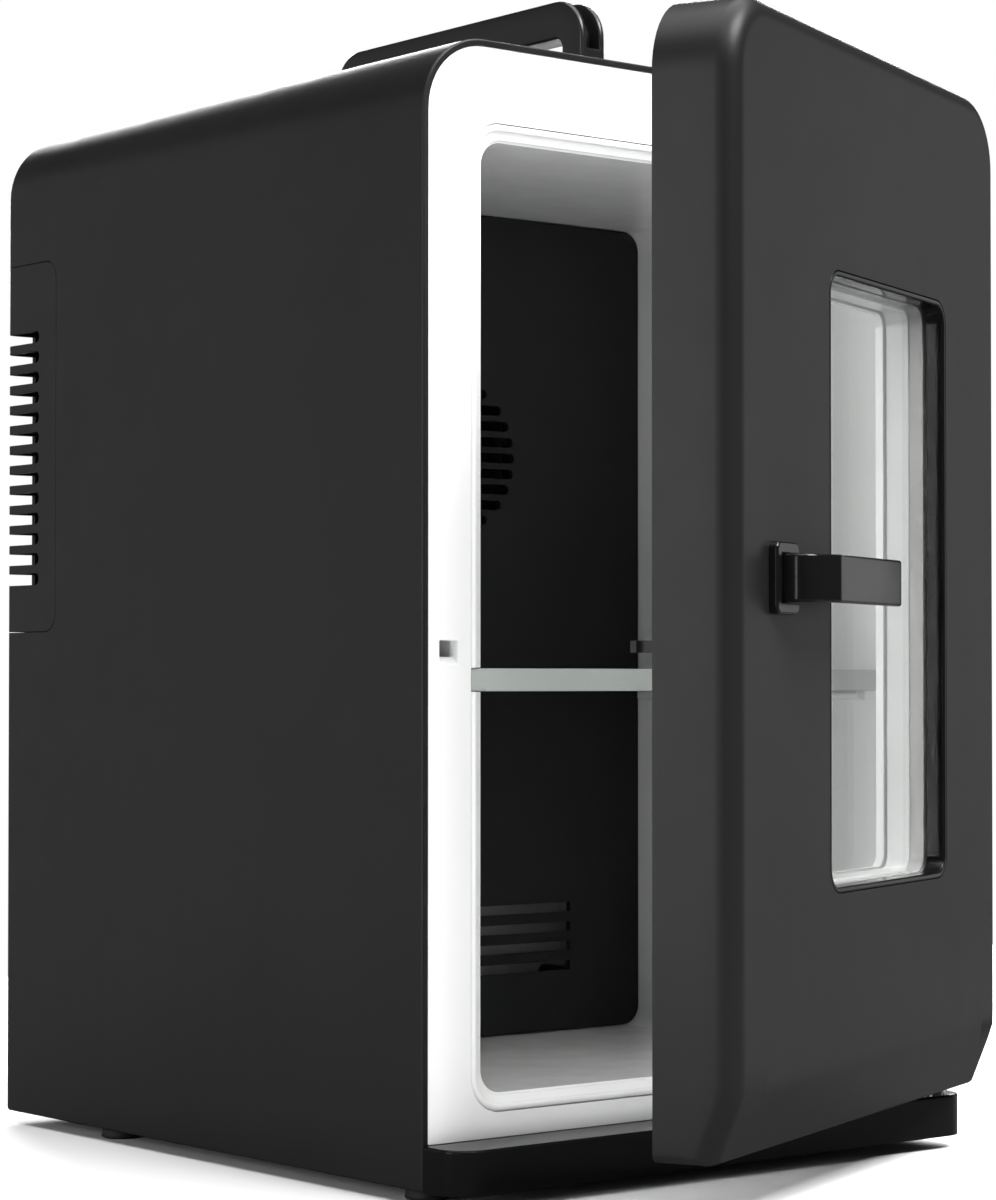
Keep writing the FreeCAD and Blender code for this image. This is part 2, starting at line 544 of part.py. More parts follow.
# ---- door, modelled closed ----------------------------------------------------------
PANEL_T = 2.5
PANEL_Y = (-DOOR_GAP - PANEL_T, -DOOR_GAP)
POCKET = (114.7, HALF + 1, HINGE.y - 6.5, 1.0, TAB_ZS[0] - 0.6, TAB_ZS[1] + 0.6)
HOOK_SLOT = (-121.2, -109.7, 182.4, 190.4)
PANE_OUT, PANE_IN = (-23.5, -20.5), (-6.5, -4.0)
BEZEL_WALL, COLLAR_WALL = 2.0, 5.0
SPACER_Y, COLLAR_FRONT = (-20.4, -15.2), -15.0
LATCH_WELL = (-106.0, -72.0, 192.0, 226.0)
DOOR_FLOOR_R = 3.0


def door_block(inset, face, back, edge_r):
    """Door volume moved inward by inset, from its outer face to back, with the sloping toe."""
    rect = (-HALF + inset, HALF - inset, DOOR_LOW + inset, HEIGHT - inset)
    block = slab_y(rect, DOOR_FLOOR_R, ROOF_R - inset, face, back)
    slope = math.atan2(CREASE_Z - DOOR_LOW, TOE_DEPTH)
    rise = inset * (1 - math.cos(slope)) / math.sin(slope)
    crease, toe_y = CREASE_Z + rise, DOOR_FACE + TOE_DEPTH + inset / math.tan(slope / 2) - inset
    lead = (crease - rect[2]) / (toe_y - face)
    wedge = prism([V(-200, face - 5, crease + 5 * lead), V(-200, toe_y + 5, rect[2] - 5 * lead),
                   V(-200, face - 5, rect[2] - 5 * lead)], V(400, 0, 0))
    block = block.cut(wedge)
    rim = edges_where(block, lambda b: b.YMax < face + 0.01 and b.ZMax > CREASE_Z + 1)
    return block.makeFillet(edge_r, rim)


def hinge_rounding():
    """Material removed so that the inner hinge-side edge is round about the pins."""
    square = box(HINGE.x, HALF + 1, HINGE.y, 1, 0, HEIGHT + 1)
    return square.cut(rod(5.0, V(HINGE.x, HINGE.y, -1), HEIGHT + 3, UP))


def door_outer():
    shell = door_block(0, DOOR_FACE, -DOOR_GAP, DOOR_EDGE_R)
    shell = shell.cut(door_block(WALL, DOOR_FACE + WALL, 1, DOOR_EDGE_R - WALL))
    shell = shell.cut(hinge_rounding()).cut(box(*POCKET))
    opening = grow(WINDOW, BEZEL_WALL + 0.2)
    shell = shell.cut(slab_y(opening, WINDOW_R + 2.2, WINDOW_R + 2.2, DOOR_FACE - 1, DOOR_FACE + 10))
    shell = shell.cut(rod(BUSH_R + 0.1, V(HINGE.x, HINGE.y, DOOR_LOW - 1), WALL + 3, UP))
    port = (ESCUTCHEON[0] + 3, ESCUTCHEON[1] - 3, ESCUTCHEON[2] + 3.3, ESCUTCHEON[3] - 3.3)
    return shell.cut(slab_y(port, 1, 1, DOOR_FACE - 1, DOOR_FACE + 5)).removeSplitter()


def door_inner():
    """Inner panel with its gasket groove and the collar round the window."""
    rect = (-HALF + WALL + FIT, HALF - WALL - FIT, DOOR_LOW + WALL + FIT, HEIGHT - WALL - FIT)
    panel = slab_y(rect, DOOR_FLOOR_R, ROOF_R - WALL - FIT, *PANEL_Y)
    collar = slab_y(grow(WINDOW, COLLAR_WALL - 1), WINDOW_R + 4, WINDOW_R + 4, COLLAR_FRONT, PANEL_Y[1] - 1)
    panel = panel.fuse(collar)
    panel = panel.cut(slab_y(grow(WINDOW, -1), WINDOW_R - 1, WINDOW_R - 1, -40, PANE_IN[1] + 0.1))
    panel = panel.cut(slab_y(grow(WINDOW, -1.6), WINDOW_R - 1.6, WINDOW_R - 1.6, -40, 1))
    panel = panel.cut(slab_y(grow(WINDOW, 1.6), WINDOW_R + 1.6, WINDOW_R + 1.6, PANE_IN[0] - 0.1, PANE_IN[1] + 0.1))
    panel = panel.cut(gasket_ring(0.1, PANEL_Y[1] - 1.6, 1))
    panel = panel.cut(box(*POCKET)).cut(hinge_rounding())
    slot = box(HOOK_SLOT[0], HOOK_SLOT[1], -10, 1, HOOK_SLOT[2], HOOK_SLOT[3])
    return panel.cut(slot).removeSplitter()


GASKET = (-109.2, 109.2, 22.6, 376.0)
GASKET_WIDE = 4.4


def gasket_ring(gap, y0, y1):
    ring = slab_y(grow(GASKET, gap), 14, 16, y0, y1)
    hole_r = 14 - GASKET_WIDE
    return ring.cut(slab_y(grow(GASKET, -GASKET_WIDE - gap), hole_r, hole_r, y0 - 1, y1 + 1))


def door_gasket():
    return gasket_ring(0, PANEL_Y[1] - 1.5, PANEL_Y[1] + 0.5)


def door_foam():
    foam = door_block(WALL + FIT, DOOR_FACE + WALL + FIT, PANEL_Y[0] - FIT, DOOR_EDGE_R - WALL - FIT)
    foam = foam.cut(slab_y(grow(WINDOW, 6.5), 12, 12, -40, 1))
    foam = foam.cut(box(*POCKET))
    foam = foam.cut(box(HINGE.x - BUSH_R - 0.2, HALF, HINGE.y - BUSH_R - 0.2, 1, 0, HEIGHT))
    foam = foam.cut(box(LATCH_WELL[0], LATCH_WELL[1], -40, 1, LATCH_WELL[2], LATCH_WELL[3]))
    foam = foam.cut(box(HOOK_SLOT[0], LATCH_WELL[1], -40, 1, HOOK_SLOT[2], LATCH_WELL[3]))
    return foam.removeSplitter()


def window_bezel():
    ring = slab_y(grow(WINDOW, BEZEL_WALL), WINDOW_R + 2, WINDOW_R + 2, DOOR_FACE, PANE_OUT[0] - 0.1)
    flange = slab_y(grow(WINDOW, 5.5), WINDOW_R + 5, WINDOW_R + 5, DOOR_FACE + WALL + 0.2, PANE_OUT[0] - 0.1)
    ring = ring.fuse(flange).cut(slab_y(WINDOW, WINDOW_R, WINDOW_R, DOOR_FACE - 1, 0))
    rim = edges_where(ring, lambda b: b.YMax < DOOR_FACE + 0.1)
    return ring.makeChamfer(0.5, rim).removeSplitter()


def pane(reach, depth):
    return slab_y(grow(WINDOW, reach), WINDOW_R + reach, WINDOW_R + reach, *depth)


def pane_spacer():
    ring = pane(4.0, SPACER_Y)
    return ring.cut(slab_y(WINDOW, WINDOW_R, WINDOW_R, SPACER_Y[0] - 1, SPACER_Y[1] + 1))


# ---- door latch ---------------------------------------------------------------------
ESCUTCHEON = (-99.0, -80.0, 197.0, 221.0)
LATCH_HALF = 8.0
LEVER_T, LEVER_REACH = 3.6, 72.0


def latch_escutcheon():
    """Raised frame on the door face, with ears behind it that carry the latch pin."""
    ring = slab_y(ESCUTCHEON, 3, 3, DOOR_FACE - 3.2, DOOR_FACE - 0.05)
    ring = ring.makeFillet(1.0, edges_where(ring, lambda b: b.YMax < DOOR_FACE - 3.1))
    port = (ESCUTCHEON[0] + 3.4, ESCUTCHEON[1] + 1, ESCUTCHEON[2] + 3.6, ESCUTCHEON[3] - 3.6)
    ring = ring.cut(box(port[0], port[1], DOOR_FACE - 5, DOOR_FACE + 2, port[2], port[3]))
    for z0, z1 in ((196.0, 198.4), (219.6, 222.0)):
        ear = box(LATCH_PIN.x - 4, LATCH_PIN.x + 4, DOOR_FACE + WALL + 0.1, LATCH_PIN.y + 4, z0, z1)
        ring_side = box(LATCH_PIN.x - 4, LATCH_PIN.x + 4, DOOR_FACE + WALL + 0.1, DOOR_FACE + WALL + 3, z0, z1)
        ear = ear.fuse(ring_side).cut(rod(1.5 + 0.02, V(LATCH_PIN.x, LATCH_PIN.y, 190), 40, UP))
        ring = ring.fuse(ear)
    backing = slab_y(grow(ESCUTCHEON, 1.0), 3, 3, DOOR_FACE + WALL + 0.1, DOOR_FACE + WALL + 2.1)
    backing = backing.cut(box(port[0], port[1] - 4.2, DOOR_FACE, DOOR_FACE + 10, port[2], port[3]))
    neck = box(ESCUTCHEON[0] + 3.05, ESCUTCHEON[0] + 3.45, DOOR_FACE - 1, DOOR_FACE + WALL + 1, 201.6, 216.4)
    return ring.fuse(backing).fuse(neck).removeSplitter()


def lever_profile():
    """Plan outline of the lever: hub end, outward bend and flat pad, as an inner and outer line."""
    hub_x, hub_y = LATCH_PIN.x, LATCH_PIN.y
    bend, pad = DOOR_FACE - 11.2, DOOR_FACE - 17.0
    tip_x = hub_x + LEVER_REACH
    inner = [(hub_x + 1.5, hub_y), (hub_x + 1.5, bend + 2.2), (hub_x + 12.8, pad + LEVER_T),
             (tip_x, pad + LEVER_T + 1.2)]
    outer = [(tip_x, pad + 1.2), (hub_x + 12.0, pad), (hub_x - 3.0, bend), (hub_x - 3.0, hub_y)]
    return inner + outer


def latch_lever():
    z0 = LATCH_PIN.z - LATCH_HALF
    arm = prism([V(x, y, z0) for x, y in lever_profile()], V(0, 0, 2 * LATCH_HALF))
    bends = edges_where(arm, lambda b: b.ZLength > 15 and b.YMax < DOOR_FACE - 3)
    arm = arm.makeFillet(1.5, bends)
    hub = rod(4.2, V(LATCH_PIN.x, LATCH_PIN.y, z0), 2 * LATCH_HALF, UP)
    lever = arm.fuse(hub)
    return lever.cut(rod(1.5 + RUNNING, V(LATCH_PIN.x, LATCH_PIN.y, z0 - 1), 18, UP)).removeSplitter()


HOOK_NECK = (-115.2, -112.2)
HOOK_Z = (184.4, 188.4)
HOOK_ARM_Y = (-13.0, -10.0)


def latch_hook():
    """Flat arm clamped to the lever's hub, stepping down to the nose that enters the strike."""
    z_top = LATCH_PIN.z + LATCH_HALF
    arm = box(HOOK_NECK[0], LATCH_PIN.x - 4.6, *HOOK_ARM_Y, LATCH_PIN.z - LATCH_HALF, z_top)
    drop = box(HOOK_NECK[0], HOOK_NECK[0] + 9, *HOOK_ARM_Y, HOOK_Z[0], LATCH_PIN.z)
    nose = box(*HOOK_NECK, HOOK_ARM_Y[0], 12.0, *HOOK_Z)
    barb = prism([V(HOOK_NECK[0] + 0.1, 8.6, HOOK_Z[0]), V(HOOK_NECK[0] - 2.6, 8.6, HOOK_Z[0]),
                  V(HOOK_NECK[0] + 0.1, 12.0, HOOK_Z[0])], V(0, 0, HOOK_Z[1] - HOOK_Z[0]))
    strap = box(LATCH_PIN.x - 8.0, LATCH_PIN.x + 2, LATCH_PIN.y + 4.3, HOOK_ARM_Y[1], 203, 215)
    return arm.fuse(drop).fuse(nose).fuse(barb).fuse(strap).removeSplitter()


def latch_pin():
    return rod(1.5, V(LATCH_PIN.x, LATCH_PIN.y, 196.0), 26.0, UP)


# ---- carry handle -------------------------------------------------------------------
EAR_R, EAR_T, EAR_GAP = 4.5, 3.2, 0.3
BRACKET_FOOT_T = 1.9
HANDLE_PIN_R = 2.0
GROOVE_HALF, GROOVE_DEPTH = 3.3, 6.0


def carry_handle():
    """Bail with square-set legs, rounded shoulders and a groove round its outer edge."""
    y0, y1 = HANDLE_Y
    foot = HANDLE_PIVOT_Z
    blank = slab_x((y0, y1, foot - 30, HANDLE_TOP), 1, HANDLE_R, -HANDLE_HALF, HANDLE_HALF)
    blank = blank.cut(box(-20, 20, y0 - 1, y1 + 1, foot - 31, foot))
    for y in (y0, y1 - HANDLE_LEG):
        blank = blank.fuse(rod(HANDLE_HALF, V(0, y, foot), HANDLE_LEG, ALONG_Y))
    bar_low = HANDLE_TOP - HANDLE_BAR
    hole = slab_x((y0 + HANDLE_LEG, y1 - HANDLE_LEG, foot - 60, bar_low), 1, 4, -20, 20)
    handle = blank.cut(hole)
    outer = slab_x((y0 - 5, y1 + 5, 418.0, HANDLE_TOP + 5), 0.5, HANDLE_R + 5, -GROOVE_HALF, GROOVE_HALF)
    inner = slab_x((y0 + GROOVE_DEPTH, y1 - GROOVE_DEPTH, 300, HANDLE_TOP - GROOVE_DEPTH),
                   1, HANDLE_R - GROOVE_DEPTH, -20, 20)
    handle = handle.cut(outer.cut(inner))
    for y in (y0, y1 - HANDLE_LEG):
        bore = rod(HANDLE_PIN_R + RUNNING, V(0, y - 1, foot), HANDLE_LEG + 2, ALONG_Y)
        handle = handle.cut(bore)
    return handle.removeSplitter()


def handle_bracket(y0):
    """Clevis on the roof for the leg that starts at y0."""
    low, high = y0 - EAR_GAP - EAR_T, y0 + HANDLE_LEG + EAR_GAP + EAR_T
    foot = slab_box(-9, 9, low, high, HEIGHT + 0.05, HEIGHT + BRACKET_FOOT_T)
    for y in (low, high - EAR_T):
        ear = rod(EAR_R, V(0, y, HANDLE_PIVOT_Z), EAR_T, ALONG_Y)
        ear = ear.fuse(box(-EAR_R, EAR_R, y, y + EAR_T, HEIGHT + 1, HANDLE_PIVOT_Z))
        foot = foot.fuse(ear)
    bore = rod(HANDLE_PIN_R + 0.02, V(0, low - 1, HANDLE_PIVOT_Z), high - low + 2, ALONG_Y)
    return foot.cut(bore).removeSplitter()


def slab_box(x0, x1, y0, y1, z0, z1):
    """Thin plate with its upright corners rounded."""
    plate = box(x0, x1, y0, y1, z0, z1)
    return plate.makeFillet(2.0, edges_where(plate, lambda b: b.ZLength > z1 - z0 - 0.01 and b.XLength < 0.1
                                             and b.YLength < 0.1))


def handle_pin(y0):
    low = y0 - EAR_GAP - EAR_T
    return rod(HANDLE_PIN_R, V(0, low, HANDLE_PIVOT_Z), HANDLE_LEG + 2 * (EAR_GAP + EAR_T), ALONG_Y)


# ---- write every piece --------------------------------------------------------------
LEG_STARTS = (HANDLE_Y[0], HANDLE_Y[1] - HANDLE_LEG)
SKIN = cabinet_skin()

save("outer_shell", outer_shell(SKIN))
save("rear_cover", rear_cover(SKIN))
save("rear_cover_screws", group([pan_screw(x, DEPTH, z, 9.0) for x, z in cover_screw_places()]))
save("base_plinth", base_plinth())
save("rubber_feet", group([rubber_foot(x, y) for x, y in FEET]))
save("front_frame", front_frame())
save("inner_liner", inner_liner())
save("insulation_foam", insulation_foam())
save("strike_plate", strike_plate())
save("shelf", shelf())
save("duct_cover", duct_cover())

save("cold_sink", finned_block(38, 38, COLD_BASE, COLD_FIN_FRONT, 5.0, 1.2))
save("cold_block", cold_block())
save("peltier_tile", peltier_tile())
save("hot_sink", finned_block(45, 45, HOT_BASE, HOT_FIN_BACK, 5.0, 1.2))
save("inner_fan_frame", fan_frame(30, INNER_FAN_Y, 27.5, 12, 3))
save("inner_fan_rotor", fan_rotor(INNER_FAN_Y, 11, 26.5, 7))
save("outer_fan_frame", fan_frame(40, OUTER_FAN_Y, 37.5, 16, 4))
save("outer_fan_rotor", fan_rotor(OUTER_FAN_Y, 15, 36.5, 7))
save("outer_fan_screws", fan_screws())

save("control_board", control_board())
save("mode_switch_body", switch_body())
save("mode_switch_rocker", switch_rocker())
save("ac_inlet", ac_inlet())
save("ac_inlet_pins", ac_pins())
save("dc_socket", dc_socket())

save("upper_hinge_bracket", upper_hinge_bracket())
save("hinge_bracket_screws", group([bracket_screw(z) for z in BRACKET_SCREW_ZS]))
save("upper_hinge_pin", upper_hinge_pin())
save("lower_hinge_pin", lower_hinge_pin())
save("handle_brackets", group([handle_bracket(y) for y in LEG_STARTS]))
save("handle_pivot_pins", group([handle_pin(y) for y in LEG_STARTS]))
save("carry_handle", carry_handle())

save("door_outer", swing(door_outer()))
save("door_inner", swing(door_inner()))
save("door_foam", swing(door_foam()))
save("door_gasket", swing(door_gasket()))
save("window_bezel", swing(window_bezel()))
save("outer_pane", swing(pane(4.0, PANE_OUT)))
save("pane_spacer", swing(pane_spacer()))
save("inner_pane", swing(pane(1.4, PANE_IN)))
save("door_hinge_bushes", swing(group([hinge_bush(z0, z1) for z0, z1 in BUSHES])))
save("latch_escutcheon", swing(latch_escutcheon()))
save("latch_lever", swing(latch_lever()))
save("latch_hook", swing(latch_hook()))
save("latch_pin", swing(latch_pin()))
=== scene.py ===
import math

import bmesh
import bpy
import numpy as np
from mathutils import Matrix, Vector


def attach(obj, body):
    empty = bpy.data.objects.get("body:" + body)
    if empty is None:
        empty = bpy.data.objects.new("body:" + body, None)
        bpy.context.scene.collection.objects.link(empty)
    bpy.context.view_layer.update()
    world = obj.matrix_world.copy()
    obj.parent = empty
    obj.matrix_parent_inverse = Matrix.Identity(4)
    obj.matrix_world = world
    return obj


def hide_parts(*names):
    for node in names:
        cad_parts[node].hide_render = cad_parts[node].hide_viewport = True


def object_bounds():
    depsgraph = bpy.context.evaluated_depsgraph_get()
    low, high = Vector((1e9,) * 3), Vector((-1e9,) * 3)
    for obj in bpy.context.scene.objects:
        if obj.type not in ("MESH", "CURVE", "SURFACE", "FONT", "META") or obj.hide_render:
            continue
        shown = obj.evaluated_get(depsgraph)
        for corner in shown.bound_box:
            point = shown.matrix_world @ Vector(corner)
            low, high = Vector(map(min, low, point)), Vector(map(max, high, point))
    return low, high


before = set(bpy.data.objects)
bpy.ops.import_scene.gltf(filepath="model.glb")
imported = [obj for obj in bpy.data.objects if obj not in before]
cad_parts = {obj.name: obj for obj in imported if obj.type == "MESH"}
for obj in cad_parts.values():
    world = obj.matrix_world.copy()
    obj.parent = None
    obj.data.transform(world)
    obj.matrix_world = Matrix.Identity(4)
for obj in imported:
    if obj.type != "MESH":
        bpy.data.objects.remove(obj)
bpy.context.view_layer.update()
MM = 0.001

# ---- camera -------------------------------------------------------------------------
# A long lens left of the door and a little below mid height, aimed slightly upward, so that
# the side, the open cavity and the ajar door all show.
CAMERA_AT = (-800.5 * MM, -878.7 * MM, 174.6 * MM)
CAMERA_YAW, CAMERA_PITCH = 39.76, 1.16
CAMERA_LENS, CAMERA_SENSOR = 96.65, 36.0
CAMERA_SHIFT = (-0.0427, 0.0145)

lens = bpy.data.cameras.new("studio_camera")
lens.lens, lens.sensor_width = CAMERA_LENS, CAMERA_SENSOR
lens.shift_x, lens.shift_y = CAMERA_SHIFT
lens.clip_start = 0.01
camera = bpy.data.objects.new("studio_camera", lens)
camera.location = CAMERA_AT
camera.rotation_euler = (math.radians(90 + CAMERA_PITCH), 0, math.radians(-CAMERA_YAW))
bpy.context.scene.collection.objects.link(camera)
bpy.context.scene.camera = camera

# ---- studio -------------------------------------------------------------------------
# A flat square of white paper lies under the feet, with soft boxes on all sides and above. Two
# switches depend on the kind of ray: in mirror reflections the paper has PAPER_MIRRORED of its
# brightness, and only the camera sees the backdrop's glow, while all else gets the dim room's.
FLOOR_SIZE = 1.7
PAPER, PAPER_MIRRORED, PAPER_ROUGH = (0.86, 0.86, 0.86), 0.10, 0.9
FIBRE_MM, FIBRE_SHADE = 3.0, 0.01
ROOM_GLOW, BACKDROP_GLOW = 0.06, 1.0
LAMPS = {                       # place, aim, size in metres, power in watts
    "overhead_box": ((0.0, -0.3, 2.4), (0.0, 0.0, 0.2), (3.0, 3.0), 105.0),
    "front_high_box": ((0.5, -1.5, 2.2), (0.0, 0.0, 0.2), (1.4, 1.0), 112.0),
    "left_box": ((-2.4, 0.1, 0.45), (0.0, -0.1, 0.2), (0.9, 1.4), 25.0),
    "left_strip": ((-2.1, -1.05, 0.35), (0.0, -0.1, 0.2), (0.14, 1.3), 4.5),
    "right_box": ((2.4, -0.25, 0.45), (0.0, -0.1, 0.2), (1.0, 1.2), 3.2),
    "back_box": ((1.3, 2.0, 1.0), (0.0, 0.2, 0.3), (1.8, 0.9), 120.0),
    "back_left_box": ((-1.6, 1.9, 0.5), (-0.1, 0.1, 0.2), (2.4, 1.6), 5.2),
}


def node_material(name):
    """A new material with its node tree, Principled shader and Object coordinates."""
    material = bpy.data.materials.new(name)
    material.use_nodes = True
    tree = material.node_tree
    coords = tree.nodes.new("ShaderNodeTexCoord")
    return material, tree, tree.nodes["Principled BSDF"], coords.outputs["Object"]


def noise(tree, coords, size_mm, detail=3.0, rough=0.5, stretch=(1, 1, 1)):
    """Noise whose blotches are about size_mm across, shortened along an axis by stretch."""
    mapping = tree.nodes.new("ShaderNodeMapping")
    mapping.inputs["Scale"].default_value = tuple(1000.0 / size_mm * s for s in stretch)
    texture = tree.nodes.new("ShaderNodeTexNoise")
    texture.inputs["Scale"].default_value = 1.0
    texture.inputs["Detail"].default_value = detail
    texture.inputs["Roughness"].default_value = rough
    tree.links.new(coords, mapping.inputs["Vector"])
    tree.links.new(mapping.outputs["Vector"], texture.inputs["Vector"])
    return texture.outputs["Fac"]


def remap(tree, value, low, high, start=0.3, end=0.7):
    """Value between start and end, spread from low to high and clamped."""
    node = tree.nodes.new("ShaderNodeMapRange")
    node.inputs["From Min"].default_value = start
    node.inputs["From Max"].default_value = end
    node.inputs["To Min"].default_value = low
    node.inputs["To Max"].default_value = high
    tree.links.new(value, node.inputs["Value"])
    return node.outputs["Result"]


def two_tone(tree, factor, first, second):
    """Colour that runs from first to second with factor."""
    ramp = tree.nodes.new("ShaderNodeValToRGB")
    ramp.color_ramp.elements[0].color = (*first, 1)
    ramp.color_ramp.elements[1].color = (*second, 1)
    tree.links.new(factor, ramp.inputs["Fac"])
    return ramp.outputs["Color"]


paper, tree, shader, coords = node_material("studio_paper")
fibres = noise(tree, coords, FIBRE_MM)
rays = tree.nodes.new("ShaderNodeLightPath")
dimmed = tree.nodes.new("ShaderNodeVectorMath")
dimmed.operation = "SCALE"
tree.links.new(two_tone(tree, fibres, tuple(c - FIBRE_SHADE for c in PAPER), PAPER), dimmed.inputs[0])
tree.links.new(remap(tree, rays.outputs["Is Glossy Ray"], 1.0, PAPER_MIRRORED, 0, 1), dimmed.inputs["Scale"])
tree.links.new(dimmed.outputs["Vector"], shader.inputs["Base Color"])
shader.inputs["Roughness"].default_value = PAPER_ROUGH
half = FLOOR_SIZE / 2
floor_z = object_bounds()[0][2]
floor_mesh = bpy.data.meshes.new("studio_floor")
floor_mesh.from_pydata([(-half, -half, floor_z), (half, -half, floor_z), (half, half, floor_z),
                        (-half, half, floor_z)], [], [(0, 1, 2, 3)])
floor_mesh.materials.append(paper)
floor = bpy.data.objects.new("studio_floor", floor_mesh)
bpy.context.scene.collection.objects.link(floor)

for name, (at, aim, size, watts) in LAMPS.items():
    light = bpy.data.lights.new(name, "AREA")
    light.shape = "RECTANGLE"
    light.size, light.size_y = size
    light.energy = watts
    lamp = bpy.data.objects.new(name, light)
    away = np.array(at) - np.array(aim)
    lamp.location = at
    lamp.rotation_euler = (math.atan2(math.hypot(away[0], away[1]), away[2]), 0,
                           math.atan2(away[1], away[0]) + math.pi / 2)
    bpy.context.scene.collection.objects.link(lamp)

room = bpy.data.worlds.new("studio_room")
room.use_nodes = True
tree = room.node_tree
glow = tree.nodes["Background"]
glow.inputs["Color"].default_value = (1, 1, 1, 1)
seen = tree.nodes.new("ShaderNodeLightPath")
strength = remap(tree, seen.outputs["Is Camera Ray"], ROOM_GLOW, BACKDROP_GLOW, 0, 1)
tree.links.new(strength, glow.inputs["Strength"])
bpy.context.scene.world = room
bpy.context.scene.view_settings.view_transform = "Standard"

# ---- outer shell and rear cover -----------------------------------------------------
# Roof, sides and back of the cabinet are one moulding of satin charcoal ABS with a fine spark
# grain. The vented rear cover is the same plastic and is held by four screws.
CHARCOAL = (0.0075, 0.0075, 0.0078)
DRIFT_MM, GLOSS_PATCH_MM, RUBBED_MM = 70.0, 18.0, 6.0
SINK_MM, SINK_DEPTH = 55.0, 0.006


def relief(tree, height, depth_mm, under=None):
    """Bump of depth_mm from a height between 0 and 1, on top of another normal."""
    bump = tree.nodes.new("ShaderNodeBump")
    bump.inputs["Distance"].default_value = depth_mm * MM
    tree.links.new(height, bump.inputs["Height"])
    if under is not None:
        tree.links.new(under, bump.inputs["Normal"])
    return bump.outputs["Normal"]


def edge_wear(tree, radius_mm):
    """1 on edges tighter than radius_mm and 0 on flats: how far a rounded normal leans away
    from the face's own normal."""
    rounded = tree.nodes.new("ShaderNodeBevel")
    rounded.inputs["Radius"].default_value = radius_mm * MM
    geometry = tree.nodes.new("ShaderNodeNewGeometry")
    lean = tree.nodes.new("ShaderNodeVectorMath")
    lean.operation = "DOT_PRODUCT"
    tree.links.new(rounded.outputs["Normal"], lean.inputs[0])
    tree.links.new(geometry.outputs["Normal"], lean.inputs[1])
    return rounded.outputs["Normal"], remap(tree, lean.outputs["Value"], 1.0, 0.0, 0.85, 0.99)


def moulded(name, colour, roughness, grain_mm=0.5, grain_depth=0.006, mottle=0.08, spread=0.04,
            specular=0.5, edge_mm=0.0, wear=0.0):
    """Injection-moulded plastic: spark grain, slow colour drift, uneven gloss, rubbed edges."""
    material, tree, shader, coords = node_material(name)
    drift = remap(tree, noise(tree, coords, DRIFT_MM, 4.0), 0, 1)
    dark, light = (tuple(c * (1 + side * mottle) for c in colour) for side in (-1, 1))
    tone = two_tone(tree, drift, dark, light)
    blotches = noise(tree, coords, GLOSS_PATCH_MM, 5.0, 0.6)
    patches = remap(tree, blotches, roughness - spread, roughness + spread)
    under = relief(tree, noise(tree, coords, SINK_MM, 1.0), SINK_DEPTH)
    if edge_mm:
        under, rubbed = edge_wear(tree, edge_mm)
        mix = tree.nodes.new("ShaderNodeMix")
        mix.data_type = "RGBA"
        broken = tree.nodes.new("ShaderNodeMath")
        broken.operation = "MULTIPLY"
        tree.links.new(rubbed, broken.inputs[0])
        tree.links.new(remap(tree, noise(tree, coords, RUBBED_MM, 4.0), 0, wear), broken.inputs[1])
        tree.links.new(broken.outputs["Value"], mix.inputs["Factor"])
        tree.links.new(tone, mix.inputs["A"])
        mix.inputs["B"].default_value = (*(min(1.0, c * 2.2 + 0.01) for c in colour), 1)
        tone = mix.outputs["Result"]
    tree.links.new(tone, shader.inputs["Base Color"])
    tree.links.new(patches, shader.inputs["Roughness"])
    tree.links.new(relief(tree, noise(tree, coords, grain_mm, 2.0, 0.6), grain_depth, under),
                   shader.inputs["Normal"])
    shader.inputs["Specular IOR Level"].default_value = specular
    return material


def finish_nodes(material, *nodes):
    """Gives CAD pieces their finish."""
    for node in nodes:
        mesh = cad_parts[node].data
        mesh.materials.clear()
        mesh.materials.append(material)


charcoal_satin = moulded("charcoal_satin", CHARCOAL, 0.40, specular=0.24, edge_mm=0.5, wear=0.5)
finish_nodes(charcoal_satin, "outer_shell", "rear_cover")

# ---- base plinth and feet -----------------------------------------------------------
# The base is one glossy black moulding: a floor pan with a plinth that steps out in front.
# Four turned rubber feet are pushed through the pan on barbed studs.
FOOT_R, FOOT_H, FOOT_STUD, FOOT_RIM, FOOT_BELLY = 8.0, 5.0, 3.0, 1.2, 0.35
FEET = [(x, y) for x in (-113.0, 113.0) for y in (14.0, 212.0)]
GLOSS_BLACK, RUBBER = (0.004, 0.004, 0.004), (0.010, 0.010, 0.010)


def grid_mesh(name, points, around=True, along=False, capped=False):
    """Quads over a grid of points in millimetres (rows, columns, xyz). around joins the last
    column to the first, along the last row to the first, and capped closes the end rows."""
    rows, columns = points.shape[:2]
    index = np.arange(rows * columns).reshape(rows, columns)
    across = np.concatenate([index, index[:, :1]], axis=1) if around else index
    whole = np.concatenate([across, across[:1]], axis=0) if along else across
    quads = np.stack([whole[:-1, :-1], whole[:-1, 1:], whole[1:, 1:], whole[1:, :-1]], axis=-1)
    faces = quads.reshape(-1, 4).tolist()
    if capped:
        faces += [index[0].tolist(), index[-1].tolist()]
    mesh = bpy.data.meshes.new(name)
    mesh.from_pydata((points.reshape(-1, 3) * MM).tolist(), [], faces)
    return mesh


def tidy_shell(mesh, sharp_degrees=40.0):
    """Merges doubles, turns faces outward and shades smooth up to an angle."""
    shell = bmesh.new()
    shell.from_mesh(mesh)
    bmesh.ops.remove_doubles(shell, verts=shell.verts, dist=0.002 * MM)
    bmesh.ops.dissolve_degenerate(shell, edges=shell.edges, dist=0.001 * MM)
    bmesh.ops.recalc_face_normals(shell, faces=shell.faces)
    shell.to_mesh(mesh)
    shell.free()
    mesh.shade_smooth()
    mesh.set_sharp_from_angle(angle=math.radians(sharp_degrees))


